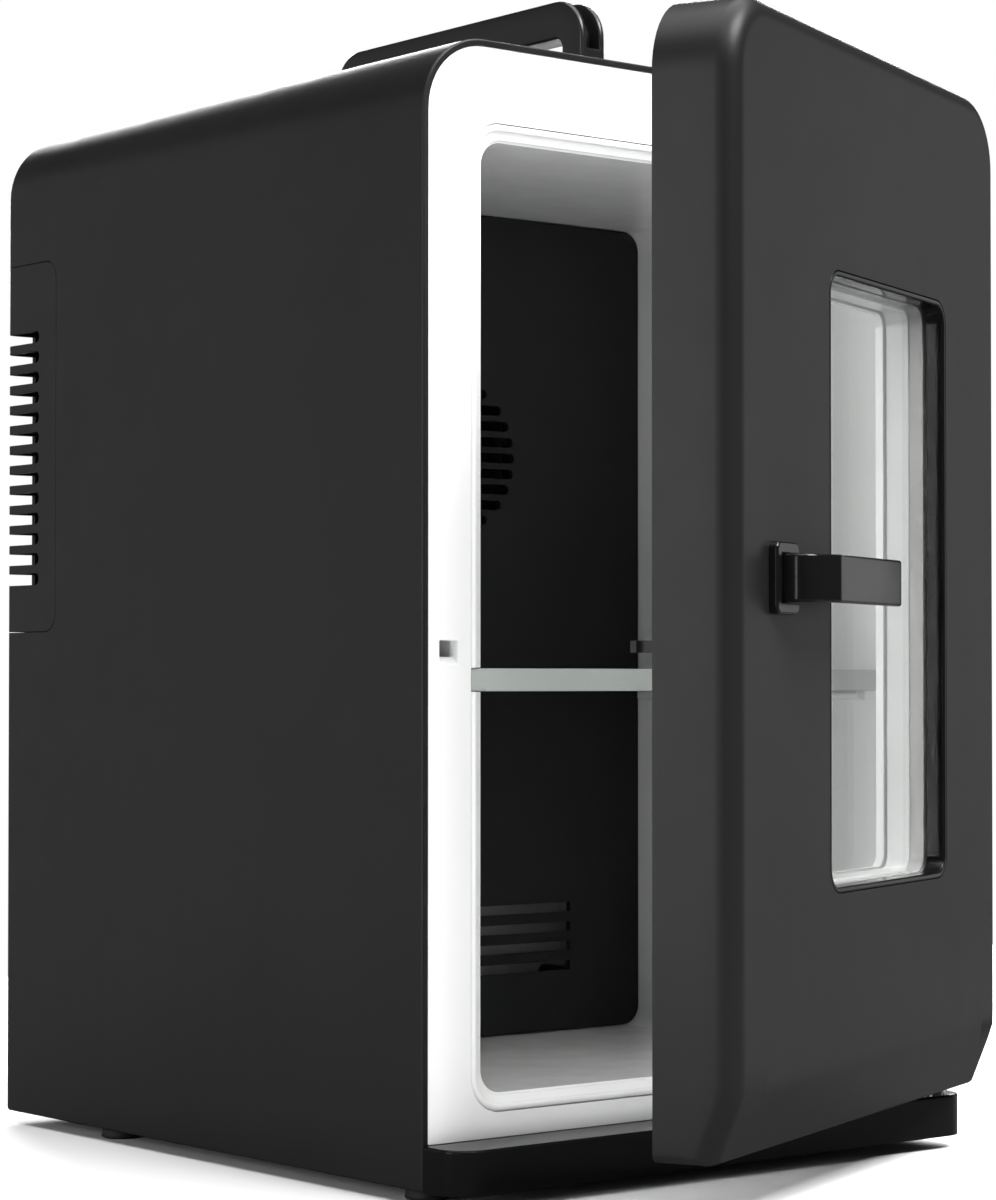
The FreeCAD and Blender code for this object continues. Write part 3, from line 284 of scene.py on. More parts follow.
def fit_piece(name, mesh, material, body, slot, *replaced):
    """Puts a finished mesh on its body in place of CAD nodes."""
    mesh.materials.clear()
    mesh.materials.append(material)
    piece = bpy.data.objects.new(name, mesh)
    bpy.context.scene.collection.objects.link(piece)
    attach(piece, body)
    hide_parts(*replaced)
    return piece


def join_meshes(name, meshes):
    """One mesh of several, kept as separate closed shells."""
    whole = bmesh.new()
    for mesh in meshes:
        whole.from_mesh(mesh)
        bpy.data.meshes.remove(mesh)
    joined = bpy.data.meshes.new(name)
    whole.to_mesh(joined)
    whole.free()
    return joined


def turned(radius, height, centre, steps=48):
    """A turned form: radius and height are arrays along the profile, and each ring is
    centre + (radius cos a, radius sin a, height)."""
    angle = np.linspace(0, 2 * math.pi, steps, endpoint=False)
    ring = np.stack([np.cos(angle), np.sin(angle), np.zeros(steps)], axis=1)
    return np.array(centre) + radius[:, None, None] * ring + height[:, None, None] * np.array([0, 0, 1.0])


def foot_points(x, y):
    """Half profile of a foot: a dished sole, a rounded rim, a belly and the stud in the pan."""
    bend = np.linspace(0, math.pi / 2, 8)
    sole_r, sole_z = np.array([0.6, 4.0, 4.8]), np.array([-4.1, -4.1, -FOOT_H])
    rim_r = FOOT_R - FOOT_RIM + FOOT_RIM * np.sin(bend)
    rim_z = -FOOT_H + FOOT_RIM - FOOT_RIM * np.cos(bend)
    belly = np.linspace(-FOOT_H + 1.5, -0.4, 8)
    belly_r = FOOT_R - FOOT_BELLY * np.sin((belly + FOOT_H) / FOOT_H * math.pi)
    stud_r = np.array([FOOT_R - 0.5, FOOT_STUD, FOOT_STUD, 1.0])
    stud_z = np.array([-0.05, -0.05, 5.5, 6.2])
    radius = np.concatenate([sole_r, rim_r, belly_r, stud_r])
    height = np.concatenate([sole_z, rim_z, belly, stud_z])
    return turned(radius, height, (x, y, 0))


plinth_gloss = moulded("plinth_gloss", GLOSS_BLACK, 0.13, 3.0, 0.002, spread=0.03, specular=0.10,
                       edge_mm=0.6, wear=0.4)
finish_nodes(plinth_gloss, "base_plinth")
foot_rubber = moulded("foot_rubber", RUBBER, 0.72, 0.3, 0.02, mottle=0.25)
feet = [grid_mesh("foot", foot_points(x, y), capped=True) for x, y in FEET]
feet_mesh = join_meshes("rubber_feet_turned", feet)
tidy_shell(feet_mesh)
fit_piece("rubber_feet_turned", feet_mesh, foot_rubber, "cabinet", "rubber", "rubber_feet")

# ---- front frame and liner ----------------------------------------------------------
# The white gloss front frame is a flat moulding. The vacuum-formed liner passes through it and
# rolls over into a bead, a bevel and the cavity walls, with a ledge under each end of the shelf.
LIP, LIP_R = (-104.2, 104.2, 24.9, 371.0), 12.7
CAVITY, CAVITY_R = (-98.0, 98.0, 31.0, 364.8), 8.5
FRAME_FRONT, BEAD_R, LINER_BACK, LINER_T = 0.4, 1.3, 187.6, 2.4
FLANGE_WIDE, FLANGE_DEPTH, BEVEL_DEPTH = 1.6, (3.5, 5.4), 2.4
CAVITY_EDGE_R, CAVITY_BACK_R = 0.9, 5.0
SHELF_Z, LEDGE_DEPTH, LEDGE_X, LEDGE_T = (171.6, 179.6), (12.0, 138.0), (93.2, 98.5), 4.0
NOTCH_X, NOTCH_DEPTH, SHELF_FIT = (97.5, 106.2), (-1.0, 6.2), 0.3
GLOSS_WHITE = (0.90, 0.905, 0.90)


def grow(rect, amount):
    """A rectangle (low x, high x, low z, high z) moved outward by amount."""
    return rect[0] - amount, rect[1] + amount, rect[2] - amount, rect[3] + amount


def outline(rect, low_r, high_r, corner_steps=10, side_steps=12):
    """Points (x, z) and outward normals round a rectangle: each corner is a quarter circle and
    each side between two corners is divided evenly."""
    x0, x1, z0, z1 = rect
    corners = [(x1 - low_r, z0 + low_r, low_r, -90), (x1 - high_r, z1 - high_r, high_r, 0),
               (x0 + high_r, z1 - high_r, high_r, 90), (x0 + low_r, z0 + low_r, low_r, 180)]
    turn = np.linspace(0, 90, corner_steps + 1)
    arcs, facings = [], []
    for x, z, r, start in corners:
        angle = np.radians(start + turn)
        facings.append(np.stack([np.cos(angle), np.sin(angle)], axis=1))
        arcs.append(np.array([x, z]) + r * facings[-1])
    between = np.linspace(0, 1, side_steps + 1)[1:-1, None]
    points, normals = [], []
    for i in range(4):
        after = (i + 1) % 4
        points += [arcs[i], arcs[i][-1] + between * (arcs[after][0] - arcs[i][-1])]
        normals += [facings[i], np.repeat(facings[i][-1:], side_steps - 1, axis=0)]
    return np.concatenate(points), np.concatenate(normals)


def ring_rows(rows, **steps):
    """Rows of a ring carried round rounded rectangles. Each row is (rectangle, corner radius,
    depth): the rectangle's outline, set at that depth along Y."""
    loops = []
    for rect, r, depth in rows:
        loop, _ = outline(rect, max(r, 0.05), max(r, 0.05), **steps)
        loops.append(np.stack([loop[:, 0], np.full(len(loop), depth), loop[:, 1]], axis=1))
    return np.stack(loops)


def quarter(radius, steps=6):
    """Offsets (across, down) of a quarter round of a radius, from its side to its top."""
    angle = np.linspace(0, math.pi / 2, steps)
    return list(zip(radius * (1 - np.cos(angle)), radius * (1 - np.sin(angle))))


def liner_rows():
    """From the flange behind the frame over the bead, down the bevel and along the cavity wall
    to its rounded back edge, then back outside by the wall's thickness."""
    top = FRAME_FRONT - 0.3
    front, back = FLANGE_DEPTH
    flange, flange_r = grow(LIP, FLANGE_WIDE), LIP_R + FLANGE_WIDE
    rows = [(flange, flange_r, back), (flange, flange_r, front), (LIP, LIP_R, front)]
    for across, down in quarter(BEAD_R):
        rows.append((grow(LIP, -across), LIP_R - across, top + down))
    for across, down in quarter(BEAD_R)[::-1][1:]:
        inward = 2 * BEAD_R - across
        rows.append((grow(LIP, -inward), LIP_R - inward, top + down * 0.7))
    rows.append((grow(CAVITY, CAVITY_EDGE_R), CAVITY_R + CAVITY_EDGE_R, BEVEL_DEPTH))
    for across, down in quarter(CAVITY_EDGE_R, 5):
        outside = CAVITY_EDGE_R - across
        rows.append((grow(CAVITY, outside), CAVITY_R + outside, BEVEL_DEPTH + CAVITY_EDGE_R - down))
    for depth in np.linspace(8.0, LINER_BACK - CAVITY_BACK_R, 8):
        rows.append((CAVITY, CAVITY_R, depth))
    for across, down in quarter(CAVITY_BACK_R):
        rows.append((grow(CAVITY, -across), CAVITY_R - across, LINER_BACK - down))
    wall = grow(CAVITY, LINER_T)
    rows.append((grow(CAVITY, -CAVITY_BACK_R), CAVITY_R - CAVITY_BACK_R, LINER_BACK + LINER_T - 0.1))
    rows.append((wall, CAVITY_R + LINER_T, LINER_BACK))
    rows.append((wall, CAVITY_R + LINER_T, back))
    return rows


def slab_mesh(rect, r, depth, edge=0.6):
    """Rounded rectangle in X and Z from one depth to another, its edges rounded by edge."""
    front, back = depth
    rows = [(grow(rect, a - edge), r, front + edge - d) for d, a in quarter(edge, 4)]
    rows += [(grow(rect, -d), r, back - a) for d, a in quarter(edge, 4)]
    return grid_mesh("slab", ring_rows(rows, corner_steps=4, side_steps=4), capped=True)


def cut_out(mesh, cutters):
    """The mesh less the cutters' volumes, by a boolean that is applied at once."""
    tidy_shell(mesh)
    tool_mesh = join_meshes("cutter", cutters)
    tidy_shell(tool_mesh)
    tool = bpy.data.objects.new("cutter", tool_mesh)
    work = bpy.data.objects.new("work", mesh)
    for item in (tool, work):
        bpy.context.scene.collection.objects.link(item)
    boolean = work.modifiers.new("cut", "BOOLEAN")
    boolean.operation, boolean.object, boolean.solver = "DIFFERENCE", tool, "MANIFOLD"
    cut = bpy.data.meshes.new_from_object(work.evaluated_get(bpy.context.evaluated_depsgraph_get()))
    for item in (tool, work):
        bpy.data.objects.remove(item)
    bpy.data.meshes.remove(tool_mesh)
    return cut


frame_white = moulded("frame_white", GLOSS_WHITE, 0.20, 2.0, 0.002, mottle=0.008, spread=0.04)
liner = grid_mesh("inner_liner_formed", ring_rows(liner_rows()), along=True)
back_wall = slab_mesh(grow(CAVITY, -4.0), 4.5, (LINER_BACK, LINER_BACK + LINER_T - 0.2), 0.2)
ledges, notches = [], []
for side in (-1, 1):
    ledge = (*sorted(side * x for x in LEDGE_X), SHELF_Z[0] - LEDGE_T, SHELF_Z[0] - 0.4)
    notch = (*sorted(side * x for x in NOTCH_X), SHELF_Z[0] - SHELF_FIT, SHELF_Z[1] + SHELF_FIT)
    ledges.append(slab_mesh(ledge, 0.8, LEDGE_DEPTH))
    notches.append(slab_mesh(notch, 0.2, NOTCH_DEPTH, 0.1))
liner = join_meshes("inner_liner_formed", [cut_out(liner, notches), back_wall] + ledges)
tidy_shell(liner)
fit_piece("inner_liner_formed", liner, frame_white, "cabinet", "gloss_white", "inner_liner")
finish_nodes(frame_white, "front_frame", "strike_plate")

# ---- shelf and rear panel -----------------------------------------------------------
# The slotted shelf is moulded in greyer plastic and sits in notches in the liner's lip. The
# black panel behind it hides the cold sink and lets the inner fan blow through slots.
shelf_plastic = moulded("shelf_plastic", (0.42, 0.45, 0.43), 0.32, 0.8, 0.004, mottle=0.02,
                        edge_mm=0.5, wear=0.1)
panel_matt = moulded("panel_matt", (0.007, 0.008, 0.007), 0.5, 0.4, 0.01, specular=0.3,
                     edge_mm=0.3, wear=0.3)
finish_nodes(shelf_plastic, "shelf")
finish_nodes(panel_matt, "duct_cover", "inner_fan_frame", "inner_fan_rotor", "outer_fan_frame",
             "outer_fan_rotor")

# ---- cooling module -----------------------------------------------------------------
# A ceramic thermoelectric tile is clamped between a cold block and a finned hot sink, both of
# extruded aluminium. Poured polyurethane foam fills the walls round them.


def brushed(name, colour, roughness, stretch, grain_mm=0.4):
    """Bare metal: drawn grain along one axis, cloudy tarnish and edges rounded in shading."""
    material, tree, shader, coords = node_material(name)
    drawn = noise(tree, coords, grain_mm, 3.0, 0.6, stretch)
    cloud = remap(tree, noise(tree, coords, 9.0, 4.0), 0, 1)
    tree.links.new(two_tone(tree, cloud, tuple(c * 0.8 for c in colour), colour), shader.inputs["Base Color"])
    tree.links.new(remap(tree, drawn, roughness - 0.08, roughness + 0.10), shader.inputs["Roughness"])
    under, _ = edge_wear(tree, 0.3)
    tree.links.new(relief(tree, drawn, 0.004, under), shader.inputs["Normal"])
    shader.inputs["Metallic"].default_value = 1.0
    return material


sink_aluminium = brushed("sink_aluminium", (0.80, 0.81, 0.82), 0.34, (1, 1, 0.05))
turned_steel = brushed("turned_steel", (0.62, 0.62, 0.63), 0.26, (1, 1, 0.3))
tile_ceramic = moulded("tile_ceramic", (0.78, 0.76, 0.72), 0.55, 0.3, 0.01)
foam_cells = moulded("foam_cells", (0.70, 0.62, 0.40), 0.92, 0.9, 0.25, mottle=0.12)
finish_nodes(sink_aluminium, "cold_sink", "cold_block", "hot_sink")
finish_nodes(turned_steel, "rear_cover_screws", "outer_fan_screws", "hinge_bracket_screws", "upper_hinge_pin",
             "lower_hinge_pin", "handle_pivot_pins", "latch_pin")
finish_nodes(tile_ceramic, "peltier_tile")
finish_nodes(foam_cells, "insulation_foam", "door_foam")

# ---- electrics ----------------------------------------------------------------------
# Control board, mains inlet, 12 V socket and the rocker switch that picks cooling or warming.
board_lacquer = moulded("board_lacquer", (0.015, 0.10, 0.045), 0.3, 0.6, 0.01, mottle=0.3)
inlet_brass = brushed("inlet_brass", (0.80, 0.62, 0.30), 0.28, (1, 0.1, 1))
finish_nodes(board_lacquer, "control_board")
finish_nodes(inlet_brass, "ac_inlet_pins")
finish_nodes(panel_matt, "ac_inlet", "dc_socket")
finish_nodes(plinth_gloss, "mode_switch_body", "mode_switch_rocker")

# ---- hinges -------------------------------------------------------------------------
# The door turns on two steel pins, the upper one in a black-coated bracket on the frame.
bracket_paint = moulded("bracket_paint", (0.010, 0.010, 0.010), 0.38, 0.7, 0.01, edge_mm=0.5, wear=0.8)
bush_acetal = moulded("bush_acetal", (0.75, 0.74, 0.70), 0.4)
finish_nodes(bracket_paint, "upper_hinge_bracket")
finish_nodes(bush_acetal, "door_hinge_bushes")

# ---- carry handle -------------------------------------------------------------------
# A folding bail of satin black plastic, grooved round its outer edge to save weight. Its two
# legs turn on steel pins in clevis brackets on the roof.
HANDLE_Y, HANDLE_TOP, HANDLE_PIVOT_Z, HANDLE_HALF = (57.0, 217.0), 437.7, 409.0, 6.0
HANDLE_LEG, HANDLE_BAR, HANDLE_R, HANDLE_INNER_R = 12.0, 14.7, 16.0, 4.0
GROOVE_HALF, GROOVE_DEPTH, GROOVE_LOW, BAIL_EDGE = 3.3, 6.0, 418.0, 1.1


def bail_side(y0, y1, top, r, foot_z, leg_steps, bend_steps):
    """One rail of the bail in (y, z): up a leg, round a quarter circle, along the bar, round
    again and down the other leg."""
    rise = np.concatenate([foot_z, np.linspace(HANDLE_PIVOT_Z, top - r, leg_steps)])
    angle = np.linspace(0, math.pi / 2, bend_steps)[1:]
    bend = np.stack([y0 + r - r * np.cos(angle), top - r + r * np.sin(angle)], axis=1)
    left = np.concatenate([np.stack([np.full(len(rise), y0), rise], axis=1), bend])
    right = left[::-1] * np.array([-1, 1]) + np.array([y0 + y1, 0])
    bar = left[-1] + np.linspace(0, 1, 14)[1:-1, None] * (right[0] - left[-1])
    return np.concatenate([left, bar, right])


def bail_points():
    """Section carried along the bail. Each section runs between an outer and an inner rail; its
    half width is 6 and shrinks as a half circle below the pivot, and the groove is cut from the
    outer rail where that rail is above the groove's foot."""
    drop = np.linspace(math.pi / 2 * 0.97, 0, 9)[:-1]
    foot_z = HANDLE_PIVOT_Z - HANDLE_HALF * np.sin(drop)
    outer = bail_side(*HANDLE_Y, HANDLE_TOP, HANDLE_R, foot_z, 14, 12)
    inner = bail_side(HANDLE_Y[0] + HANDLE_LEG, HANDLE_Y[1] - HANDLE_LEG, HANDLE_TOP - HANDLE_BAR,
                      HANDLE_INNER_R, foot_z, 14, 12)
    span = np.linalg.norm(inner - outer, axis=1)
    low = np.minimum(outer[:, 1], HANDLE_PIVOT_Z) - HANDLE_PIVOT_Z
    width = np.sqrt(np.maximum(HANDLE_HALF ** 2 - low ** 2, 0.0)) / HANDLE_HALF
    groove = GROOVE_DEPTH * np.clip((outer[:, 1] - GROOVE_LOW) / 0.6, 0, 1)
    edge = BAIL_EDGE * (1 - np.cos(np.linspace(0, math.pi / 2, 4)))
    back = BAIL_EDGE * (1 - np.sin(np.linspace(0, math.pi / 2, 4)))
    columns = []
    for across, depth in zip(edge, back):
        columns.append((-HANDLE_HALF + across, depth + 0 * span))
    for across, share in ((-GROOVE_HALF - 0.4, 0.0), (-GROOVE_HALF, 0.08), (-GROOVE_HALF, 1.0),
                          (GROOVE_HALF, 1.0), (GROOVE_HALF, 0.08), (GROOVE_HALF + 0.4, 0.0)):
        columns.append((across, groove * share))
    for across, depth in zip(edge[::-1], back[::-1]):
        columns.append((HANDLE_HALF - across, depth + 0 * span))
    for across, depth in zip(edge, back):
        columns.append((HANDLE_HALF - across, span - depth))
    for across, depth in zip(edge[::-1], back[::-1]):
        columns.append((-HANDLE_HALF + across, span - depth))
    across = np.array([c[0] for c in columns])
    share = np.stack([c[1] for c in columns], axis=1) / span[:, None]
    rail = outer[:, None, :] + share[:, :, None] * (inner - outer)[:, None, :]
    return np.concatenate([(width[:, None] * across)[:, :, None], rail], axis=2)


handle_satin = moulded("handle_satin", (0.0055, 0.0055, 0.0055), 0.36, 0.5, 0.006, specular=0.4)
bail = grid_mesh("carry_bail", bail_points(), capped=True)
tidy_shell(bail, 50.0)
fit_piece("carry_bail", bail, handle_satin, "handle", "handle_black", "carry_handle")
finish_nodes(handle_satin, "handle_brackets")

# ---- door skin ----------------------------------------------------------------------
# The outer door is one deep satin moulding with generously rounded edges. Below a soft crease
# its face leans back to a toe that clears the plinth. The door stands ajar on its hinge pins.
HALF, HEIGHT = 126.0, 400.0
DOOR_AJAR = math.radians(23.14)
DOOR_LOW, DOOR_FACE, DOOR_BACK, DOOR_WALL = 19.5, -30.5, -1.0, 2.4
ROOF_R, FLOOR_R, DOOR_EDGE_R, TOE_EDGE_R = 27.0, 3.0, 7.5, 1.4
CREASE_Z, TOE_DEPTH, CREASE_SOFT = 42.2, 9.0, 0.4
WINDOW, WINDOW_R = (-44.0, 66.7, 104.3, 314.7), 7.0
HINGE_X, HINGE_Y, HINGE_ROUND = 121.0, -6.0, 5.0
DOOR_INSIDE_R = 5.0
POCKET, POCKET_DEPTH = (114.7, HALF + 6, 355.9, 360.1), (-12.5, 6.0)
PORT, PORT_DEPTH = (-96.0, -83.0, 200.3, 217.7), (DOOR_FACE - 2, DOOR_FACE + 6)
BUSH_HOLE_R, BUSH_HOLE_Z = 2.5, (15.0, 23.5)


def swing(points):
    """Points of the closed door turned about the hinge pins to where the door stands."""
    cos, sin = math.cos(DOOR_AJAR), math.sin(DOOR_AJAR)
    turn = np.array([[cos, -sin], [sin, cos]])
    pin = np.array([HINGE_X, HINGE_Y])
    swung = points.copy()
    swung[..., :2] = (points[..., :2] - pin) @ turn.T + pin
    return swung


def swing_mesh(mesh):
    """The same turn for a finished mesh."""
    flat = np.empty(len(mesh.vertices) * 3)
    mesh.vertices.foreach_get("co", flat)
    mesh.vertices.foreach_set("co", (swing(flat.reshape(-1, 3) / MM) * MM).ravel())
    mesh.update()
    return mesh


def face_depth(z):
    """Depth of the door's face at a height: flat above the crease, sloping back below it. The
    two are blended as the mean of t and the root of t squared plus softness squared."""
    lean = TOE_DEPTH * (CREASE_Z - z) / (CREASE_Z - DOOR_LOW)
    return DOOR_FACE + (lean + np.sqrt(lean ** 2 + CREASE_SOFT ** 2)) / 2


def rim_depth(x):
    """Depth of the door's rear rim: flat, but an arc about the pins on the hinge side."""
    past = np.clip(x - HINGE_X, 0, HINGE_ROUND)
    return np.where(x > HINGE_X, HINGE_Y + np.sqrt(HINGE_ROUND ** 2 - past ** 2), DOOR_BACK)


def round_over(inset, radius):
    """How far a rounded edge falls back at a distance in from it: R less the root of R squared
    minus (R - distance) squared."""
    short = radius - np.clip(inset, 0, radius)
    return radius - np.sqrt(radius ** 2 - short ** 2)


def edge_drop(flat, inset):
    """Fall of the door's edge: the larger of the side's rounding and the toe's tighter one."""
    beside = np.where(flat[:, 1] < HEIGHT - 2 * ROOF_R, HALF - np.abs(flat[:, 0]), inset)
    return np.maximum(round_over(beside, DOOR_EDGE_R), round_over(flat[:, 1] - DOOR_LOW, TOE_EDGE_R))


def door_points():
    """Rows of the door skin, each a closed loop of (x, y, z). Side: the outline at depths from
    the rim forward. Edge: the outline drawn in by R(1 - cos a) and dropped by edge_drop. Face:
    straight lines from that edge to the window. Then the same back inside by the wall."""
    steps = {"corner_steps": 12, "side_steps": 64}
    door = (-HALF, HALF, DOOR_LOW, HEIGHT)
    loop, _ = outline(door, FLOOR_R, ROOF_R, **steps)
    hole, _ = outline(grow(WINDOW, 2.2), WINDOW_R + 2.2, WINDOW_R + 2.2, **steps)
    rows = []

    def add(flat, depth):
        rows.append(np.stack([flat[:, 0], depth, flat[:, 1]], axis=1))

    for share in (0.0, 0.04, 0.35, 0.7, 1.0):
        rim = rim_depth(loop[:, 0])
        add(loop, rim + share * (face_depth(loop[:, 1]) + edge_drop(loop, 0.0) - rim))
    for angle in np.linspace(0, math.pi / 2, 13)[1:]:
        side, toe = DOOR_EDGE_R * (1 - math.cos(angle)), TOE_EDGE_R * (1 - math.cos(angle))
        moved, _ = outline((-HALF + side, HALF - side, DOOR_LOW + toe, HEIGHT - side),
                           max(FLOOR_R - side, 0.3), ROOF_R - side, **steps)
        add(moved, face_depth(moved[:, 1]) + edge_drop(moved, side))
    edge = rows[-1][:, [0, 2]]
    for share in np.linspace(0, 1, 49)[1:]:
        flat = edge + share * (hole - edge)
        add(flat, face_depth(flat[:, 1]))
    add(hole, face_depth(hole[:, 1]) + DOOR_WALL)
    inner_edge, _ = outline(grow(door, -DOOR_WALL - DOOR_INSIDE_R), 0.5,
                            ROOF_R - DOOR_WALL - DOOR_INSIDE_R, **steps)
    add(inner_edge, face_depth(inner_edge[:, 1]) + DOOR_WALL)
    inner, _ = outline(grow(door, -DOOR_WALL), 0.6, ROOF_R - DOOR_WALL, **steps)
    add(inner, face_depth(inner[:, 1]) + DOOR_WALL + DOOR_INSIDE_R)
    for share in (1.0, 0.75, 0.5, 0.25):
        inset, _ = outline(grow(door, -DOOR_WALL * share), max(FLOOR_R - DOOR_WALL * share, 0.6),
                           ROOF_R - DOOR_WALL * share, **steps)
        add(inset, rim_depth(inset[:, 0]))
    return np.stack(rows)


door_satin = moulded("door_satin", (0.009, 0.009, 0.0092), 0.40, 0.45, 0.010, spread=0.012,
                     specular=0.17)
hinge_pocket = slab_mesh(POCKET, 0.3, POCKET_DEPTH, 0.1)
latch_port = slab_mesh(PORT, 1.0, PORT_DEPTH, 0.1)
bush_rod = turned(np.full(2, BUSH_HOLE_R), np.array(BUSH_HOLE_Z), (HINGE_X, HINGE_Y, 0), 24)
bush_hole = grid_mesh("bush_hole", bush_rod, capped=True)
door_skin = grid_mesh("door_skin", door_points(), along=True)
door_skin = swing_mesh(cut_out(door_skin, [hinge_pocket, latch_port, bush_hole]))
tidy_shell(door_skin)
fit_piece("door_skin", door_skin, door_satin, "door", "door_black", "door_outer")
finish_nodes(frame_white, "door_inner")

# ---- door gasket --------------------------------------------------------------------
# A soft grey extrusion pressed into a groove of the inner panel, with two sealing ribs.
GASKET, GASKET_R, GASKET_WIDE = (-109.2, 109.2, 22.6, 376.0), 15.0, 4.4
GASKET_BACK, GASKET_TOP, RIBS, RIB_HEIGHT = -2.5, -0.5, 2, 0.45


def gasket_rows():
    """Across the strip from outside to inside: a foot, then a top that waves as a cosine with
    two crests, each a rib."""
    across = np.linspace(0, GASKET_WIDE, 15)
    wave = np.cos(2 * RIBS * math.pi * (across / GASKET_WIDE - 0.25))
    ribs = GASKET_TOP - RIB_HEIGHT * (1 - wave) / 2
    rows = [(GASKET, GASKET_R, GASKET_BACK)]
    rows += [(grow(GASKET, -a), GASKET_R - a, y) for a, y in zip(across, ribs)]
    return rows + [(grow(GASKET, -GASKET_WIDE), GASKET_R - GASKET_WIDE, GASKET_BACK)]


gasket_rubber = moulded("gasket_rubber", (0.30, 0.31, 0.31), 0.6, 0.4, 0.01, mottle=0.05)
gasket = grid_mesh("gasket_ribbed", swing(ring_rows(gasket_rows())), along=True)
tidy_shell(gasket, 60.0)
fit_piece("gasket_ribbed", gasket, gasket_rubber, "door", "gasket", "door_gasket")

# ---- window -------------------------------------------------------------------------
# Two clear acrylic panes with a spacer between them sit in the white tunnel of the inner panel.
# A glossy black bezel trims the outer one.
PANE_FRONT, BEZEL_WALL, BEZEL_FLANGE, BEZEL_LIP = -23.6, 2.0, 5.5, 0.9
PANE_IOR = 1.2                  # real acrylic has 1.49; lower keeps its reflections faint


def bezel_rows():
    """Tunnel wall, rounded lip, narrow face, then the flange that hooks behind the door."""
    rows = [(WINDOW, WINDOW_R, PANE_FRONT), (WINDOW, WINDOW_R, DOOR_FACE + 4.0)]
    for across, down in quarter(BEZEL_LIP):
        rows.append((grow(WINDOW, across), WINDOW_R + across, DOOR_FACE + down))
    for across, down in quarter(0.5)[::-1]:
        rows.append((grow(WINDOW, BEZEL_WALL - across), WINDOW_R + BEZEL_WALL - across, DOOR_FACE + down))
    flange = DOOR_FACE + DOOR_WALL + 0.2
    rows.append((grow(WINDOW, BEZEL_WALL), WINDOW_R + BEZEL_WALL, flange))
    rows.append((grow(WINDOW, BEZEL_FLANGE), WINDOW_R + BEZEL_FLANGE, flange))
    rows.append((grow(WINDOW, BEZEL_FLANGE), WINDOW_R + BEZEL_FLANGE, PANE_FRONT))
    return rows


def acrylic(name, tint, roughness):
    """Clear acrylic with a faint haze of fine scuffs."""
    material, tree, shader, coords = node_material(name)
    haze = noise(tree, coords, 30.0, 4.0)
    shade = tuple(c * 0.985 for c in tint)
    tree.links.new(two_tone(tree, haze, shade, tint), shader.inputs["Base Color"])
    tree.links.new(remap(tree, haze, roughness, roughness + 0.03), shader.inputs["Roughness"])
    tree.links.new(relief(tree, noise(tree, coords, 60.0, 1.0), 0.01), shader.inputs["Normal"])
    shader.inputs["Transmission Weight"].default_value = 1.0
    shader.inputs["IOR"].default_value = PANE_IOR
    return material


bezel_gloss = moulded("bezel_gloss", GLOSS_BLACK, 0.10, 3.0, 0.002, spread=0.02, specular=0.12)
bezel = grid_mesh("window_bezel_lipped", swing(ring_rows(bezel_rows(), corner_steps=12)), along=True)
tidy_shell(bezel)
fit_piece("window_bezel_lipped", bezel, bezel_gloss, "door", "gloss_black", "window_bezel")
pane_clear = acrylic("pane_clear", (0.99, 1.0, 0.995), 0.0)
spacer_milky = moulded("spacer_milky", (0.66, 0.66, 0.655), 0.25, 1.0, 0.002, mottle=0.02)
finish_nodes(pane_clear, "outer_pane", "inner_pane")
finish_nodes(spacer_milky, "pane_spacer")

# ---- door latch ---------------------------------------------------------------------
# A bent lever of glossy black plastic turns on a steel pin inside a raised escutcheon. Pulling
# its pad swings the hook out of the strike in the frame.
LATCH_PIN = (-90.0, -16.0, 209.0)
LEVER_HALF, LEVER_T, LEVER_REACH, LEVER_EDGE = 8.0, 3.6, 72.0, 1.0
BEND_OUT, PAD_OUT = 11.2, 17.0


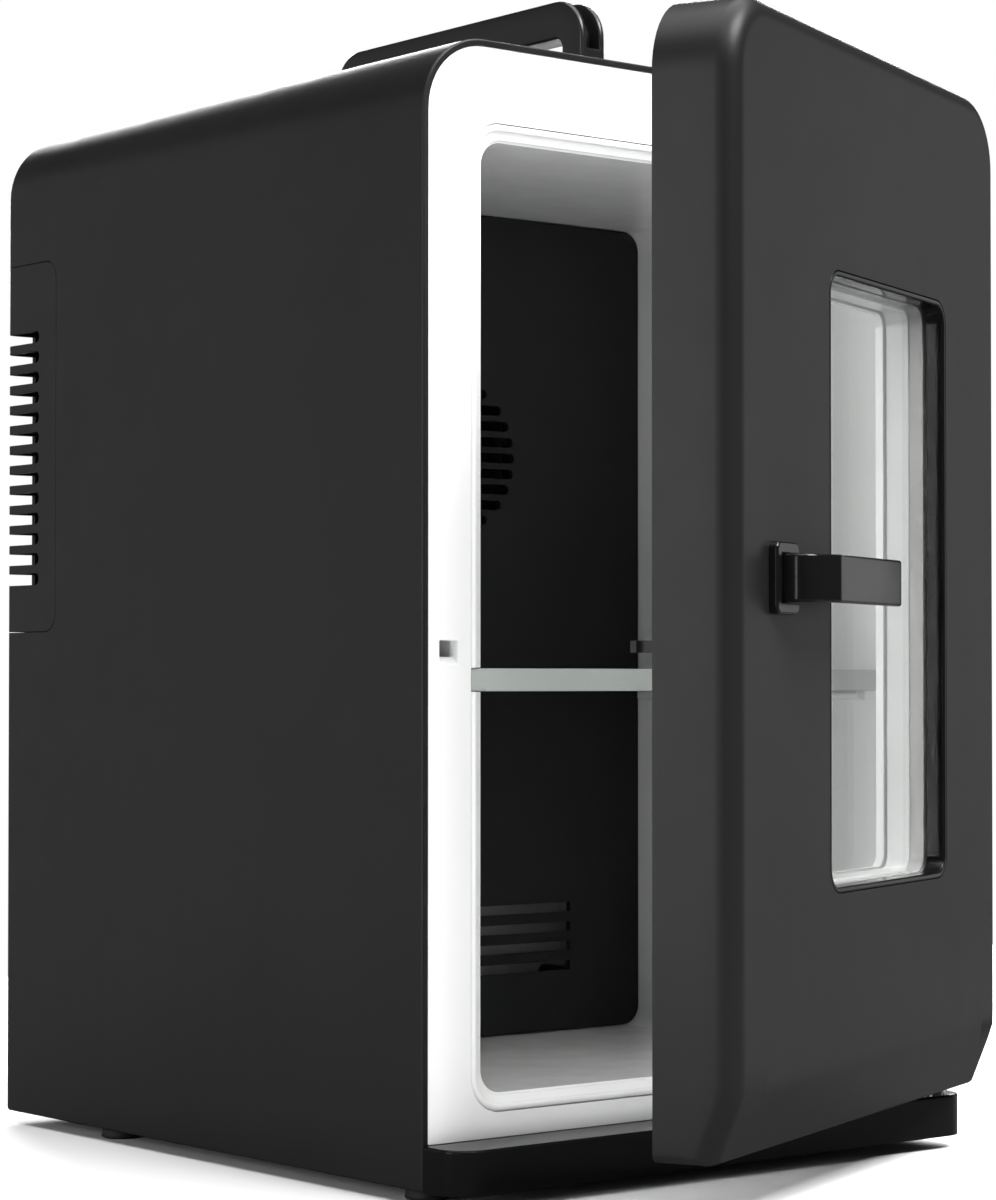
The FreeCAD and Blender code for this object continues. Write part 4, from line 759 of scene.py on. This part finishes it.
def lever_outline():
    """Plan of the lever, closed: stem, bend, slope and pad. Each corner is a parabola from r
    before it to r after it."""
    x, y = LATCH_PIN[:2]
    bend, pad, tip = DOOR_FACE - BEND_OUT, DOOR_FACE - PAD_OUT, LATCH_PIN[0] + LEVER_REACH
    corners = [(x + 3.0, y + 3.6, 2.8), (x + 2.0, bend + 2.2, 2.5), (x + 12.8, pad + LEVER_T, 3.0),
               (tip, pad + LEVER_T + 1.2, 1.2), (tip, pad + 1.2, 2.0), (x + 12.0, pad, 1.2),
               (x - 3.0, bend, 6.5), (x - 3.0, y + 3.6, 2.8)]
    points = np.array([c[:2] for c in corners])
    reach = np.array([c[2] for c in corners])[:, None]
    ahead = np.roll(points, -1, axis=0) - points
    ahead = ahead / np.linalg.norm(ahead, axis=1)[:, None]
    start, end = points - reach * np.roll(ahead, 1, axis=0), points + reach * ahead
    t = np.linspace(0, 1, 9)[None, :, None]
    arcs = (1 - t) ** 2 * start[:, None] + 2 * t * (1 - t) * points[:, None] + t ** 2 * end[:, None]
    return arcs.reshape(-1, 2)


def lever_points():
    """The plan carried up the lever's width. Near each side it is drawn in by E(1 - cos a)
    while the height moves by E(1 - sin a), which rounds the edge."""
    plan = lever_outline()
    along = np.roll(plan, -1, axis=0) - np.roll(plan, 1, axis=0)
    outward = np.stack([along[:, 1], -along[:, 0]], axis=1) / np.linalg.norm(along, axis=1)[:, None]
    area = np.sum(plan[:, 0] * np.roll(plan[:, 1], -1) - plan[:, 1] * np.roll(plan[:, 0], -1))
    outward = outward * np.sign(area)
    rows = []
    for side in (-1, 1):
        ring = quarter(LEVER_EDGE)
        for down, across in (ring if side < 0 else ring[::-1]):
            flat = plan - outward * across
            height = LATCH_PIN[2] + side * (LEVER_HALF - down)
            rows.append(np.concatenate([flat, np.full((len(plan), 1), height)], axis=1))
    return np.stack(rows)


latch_gloss = moulded("latch_gloss", GLOSS_BLACK, 0.16, 2.0, 0.003, spread=0.03, specular=0.28,
                      edge_mm=0.4, wear=0.3)
lever = grid_mesh("latch_lever_bent", swing(lever_points()), capped=True)
tidy_shell(lever)
fit_piece("latch_lever_bent", lever, latch_gloss, "latch", "gloss_black", "latch_lever")
finish_nodes(latch_gloss, "latch_escutcheon")
finish_nodes(panel_matt, "latch_hook")
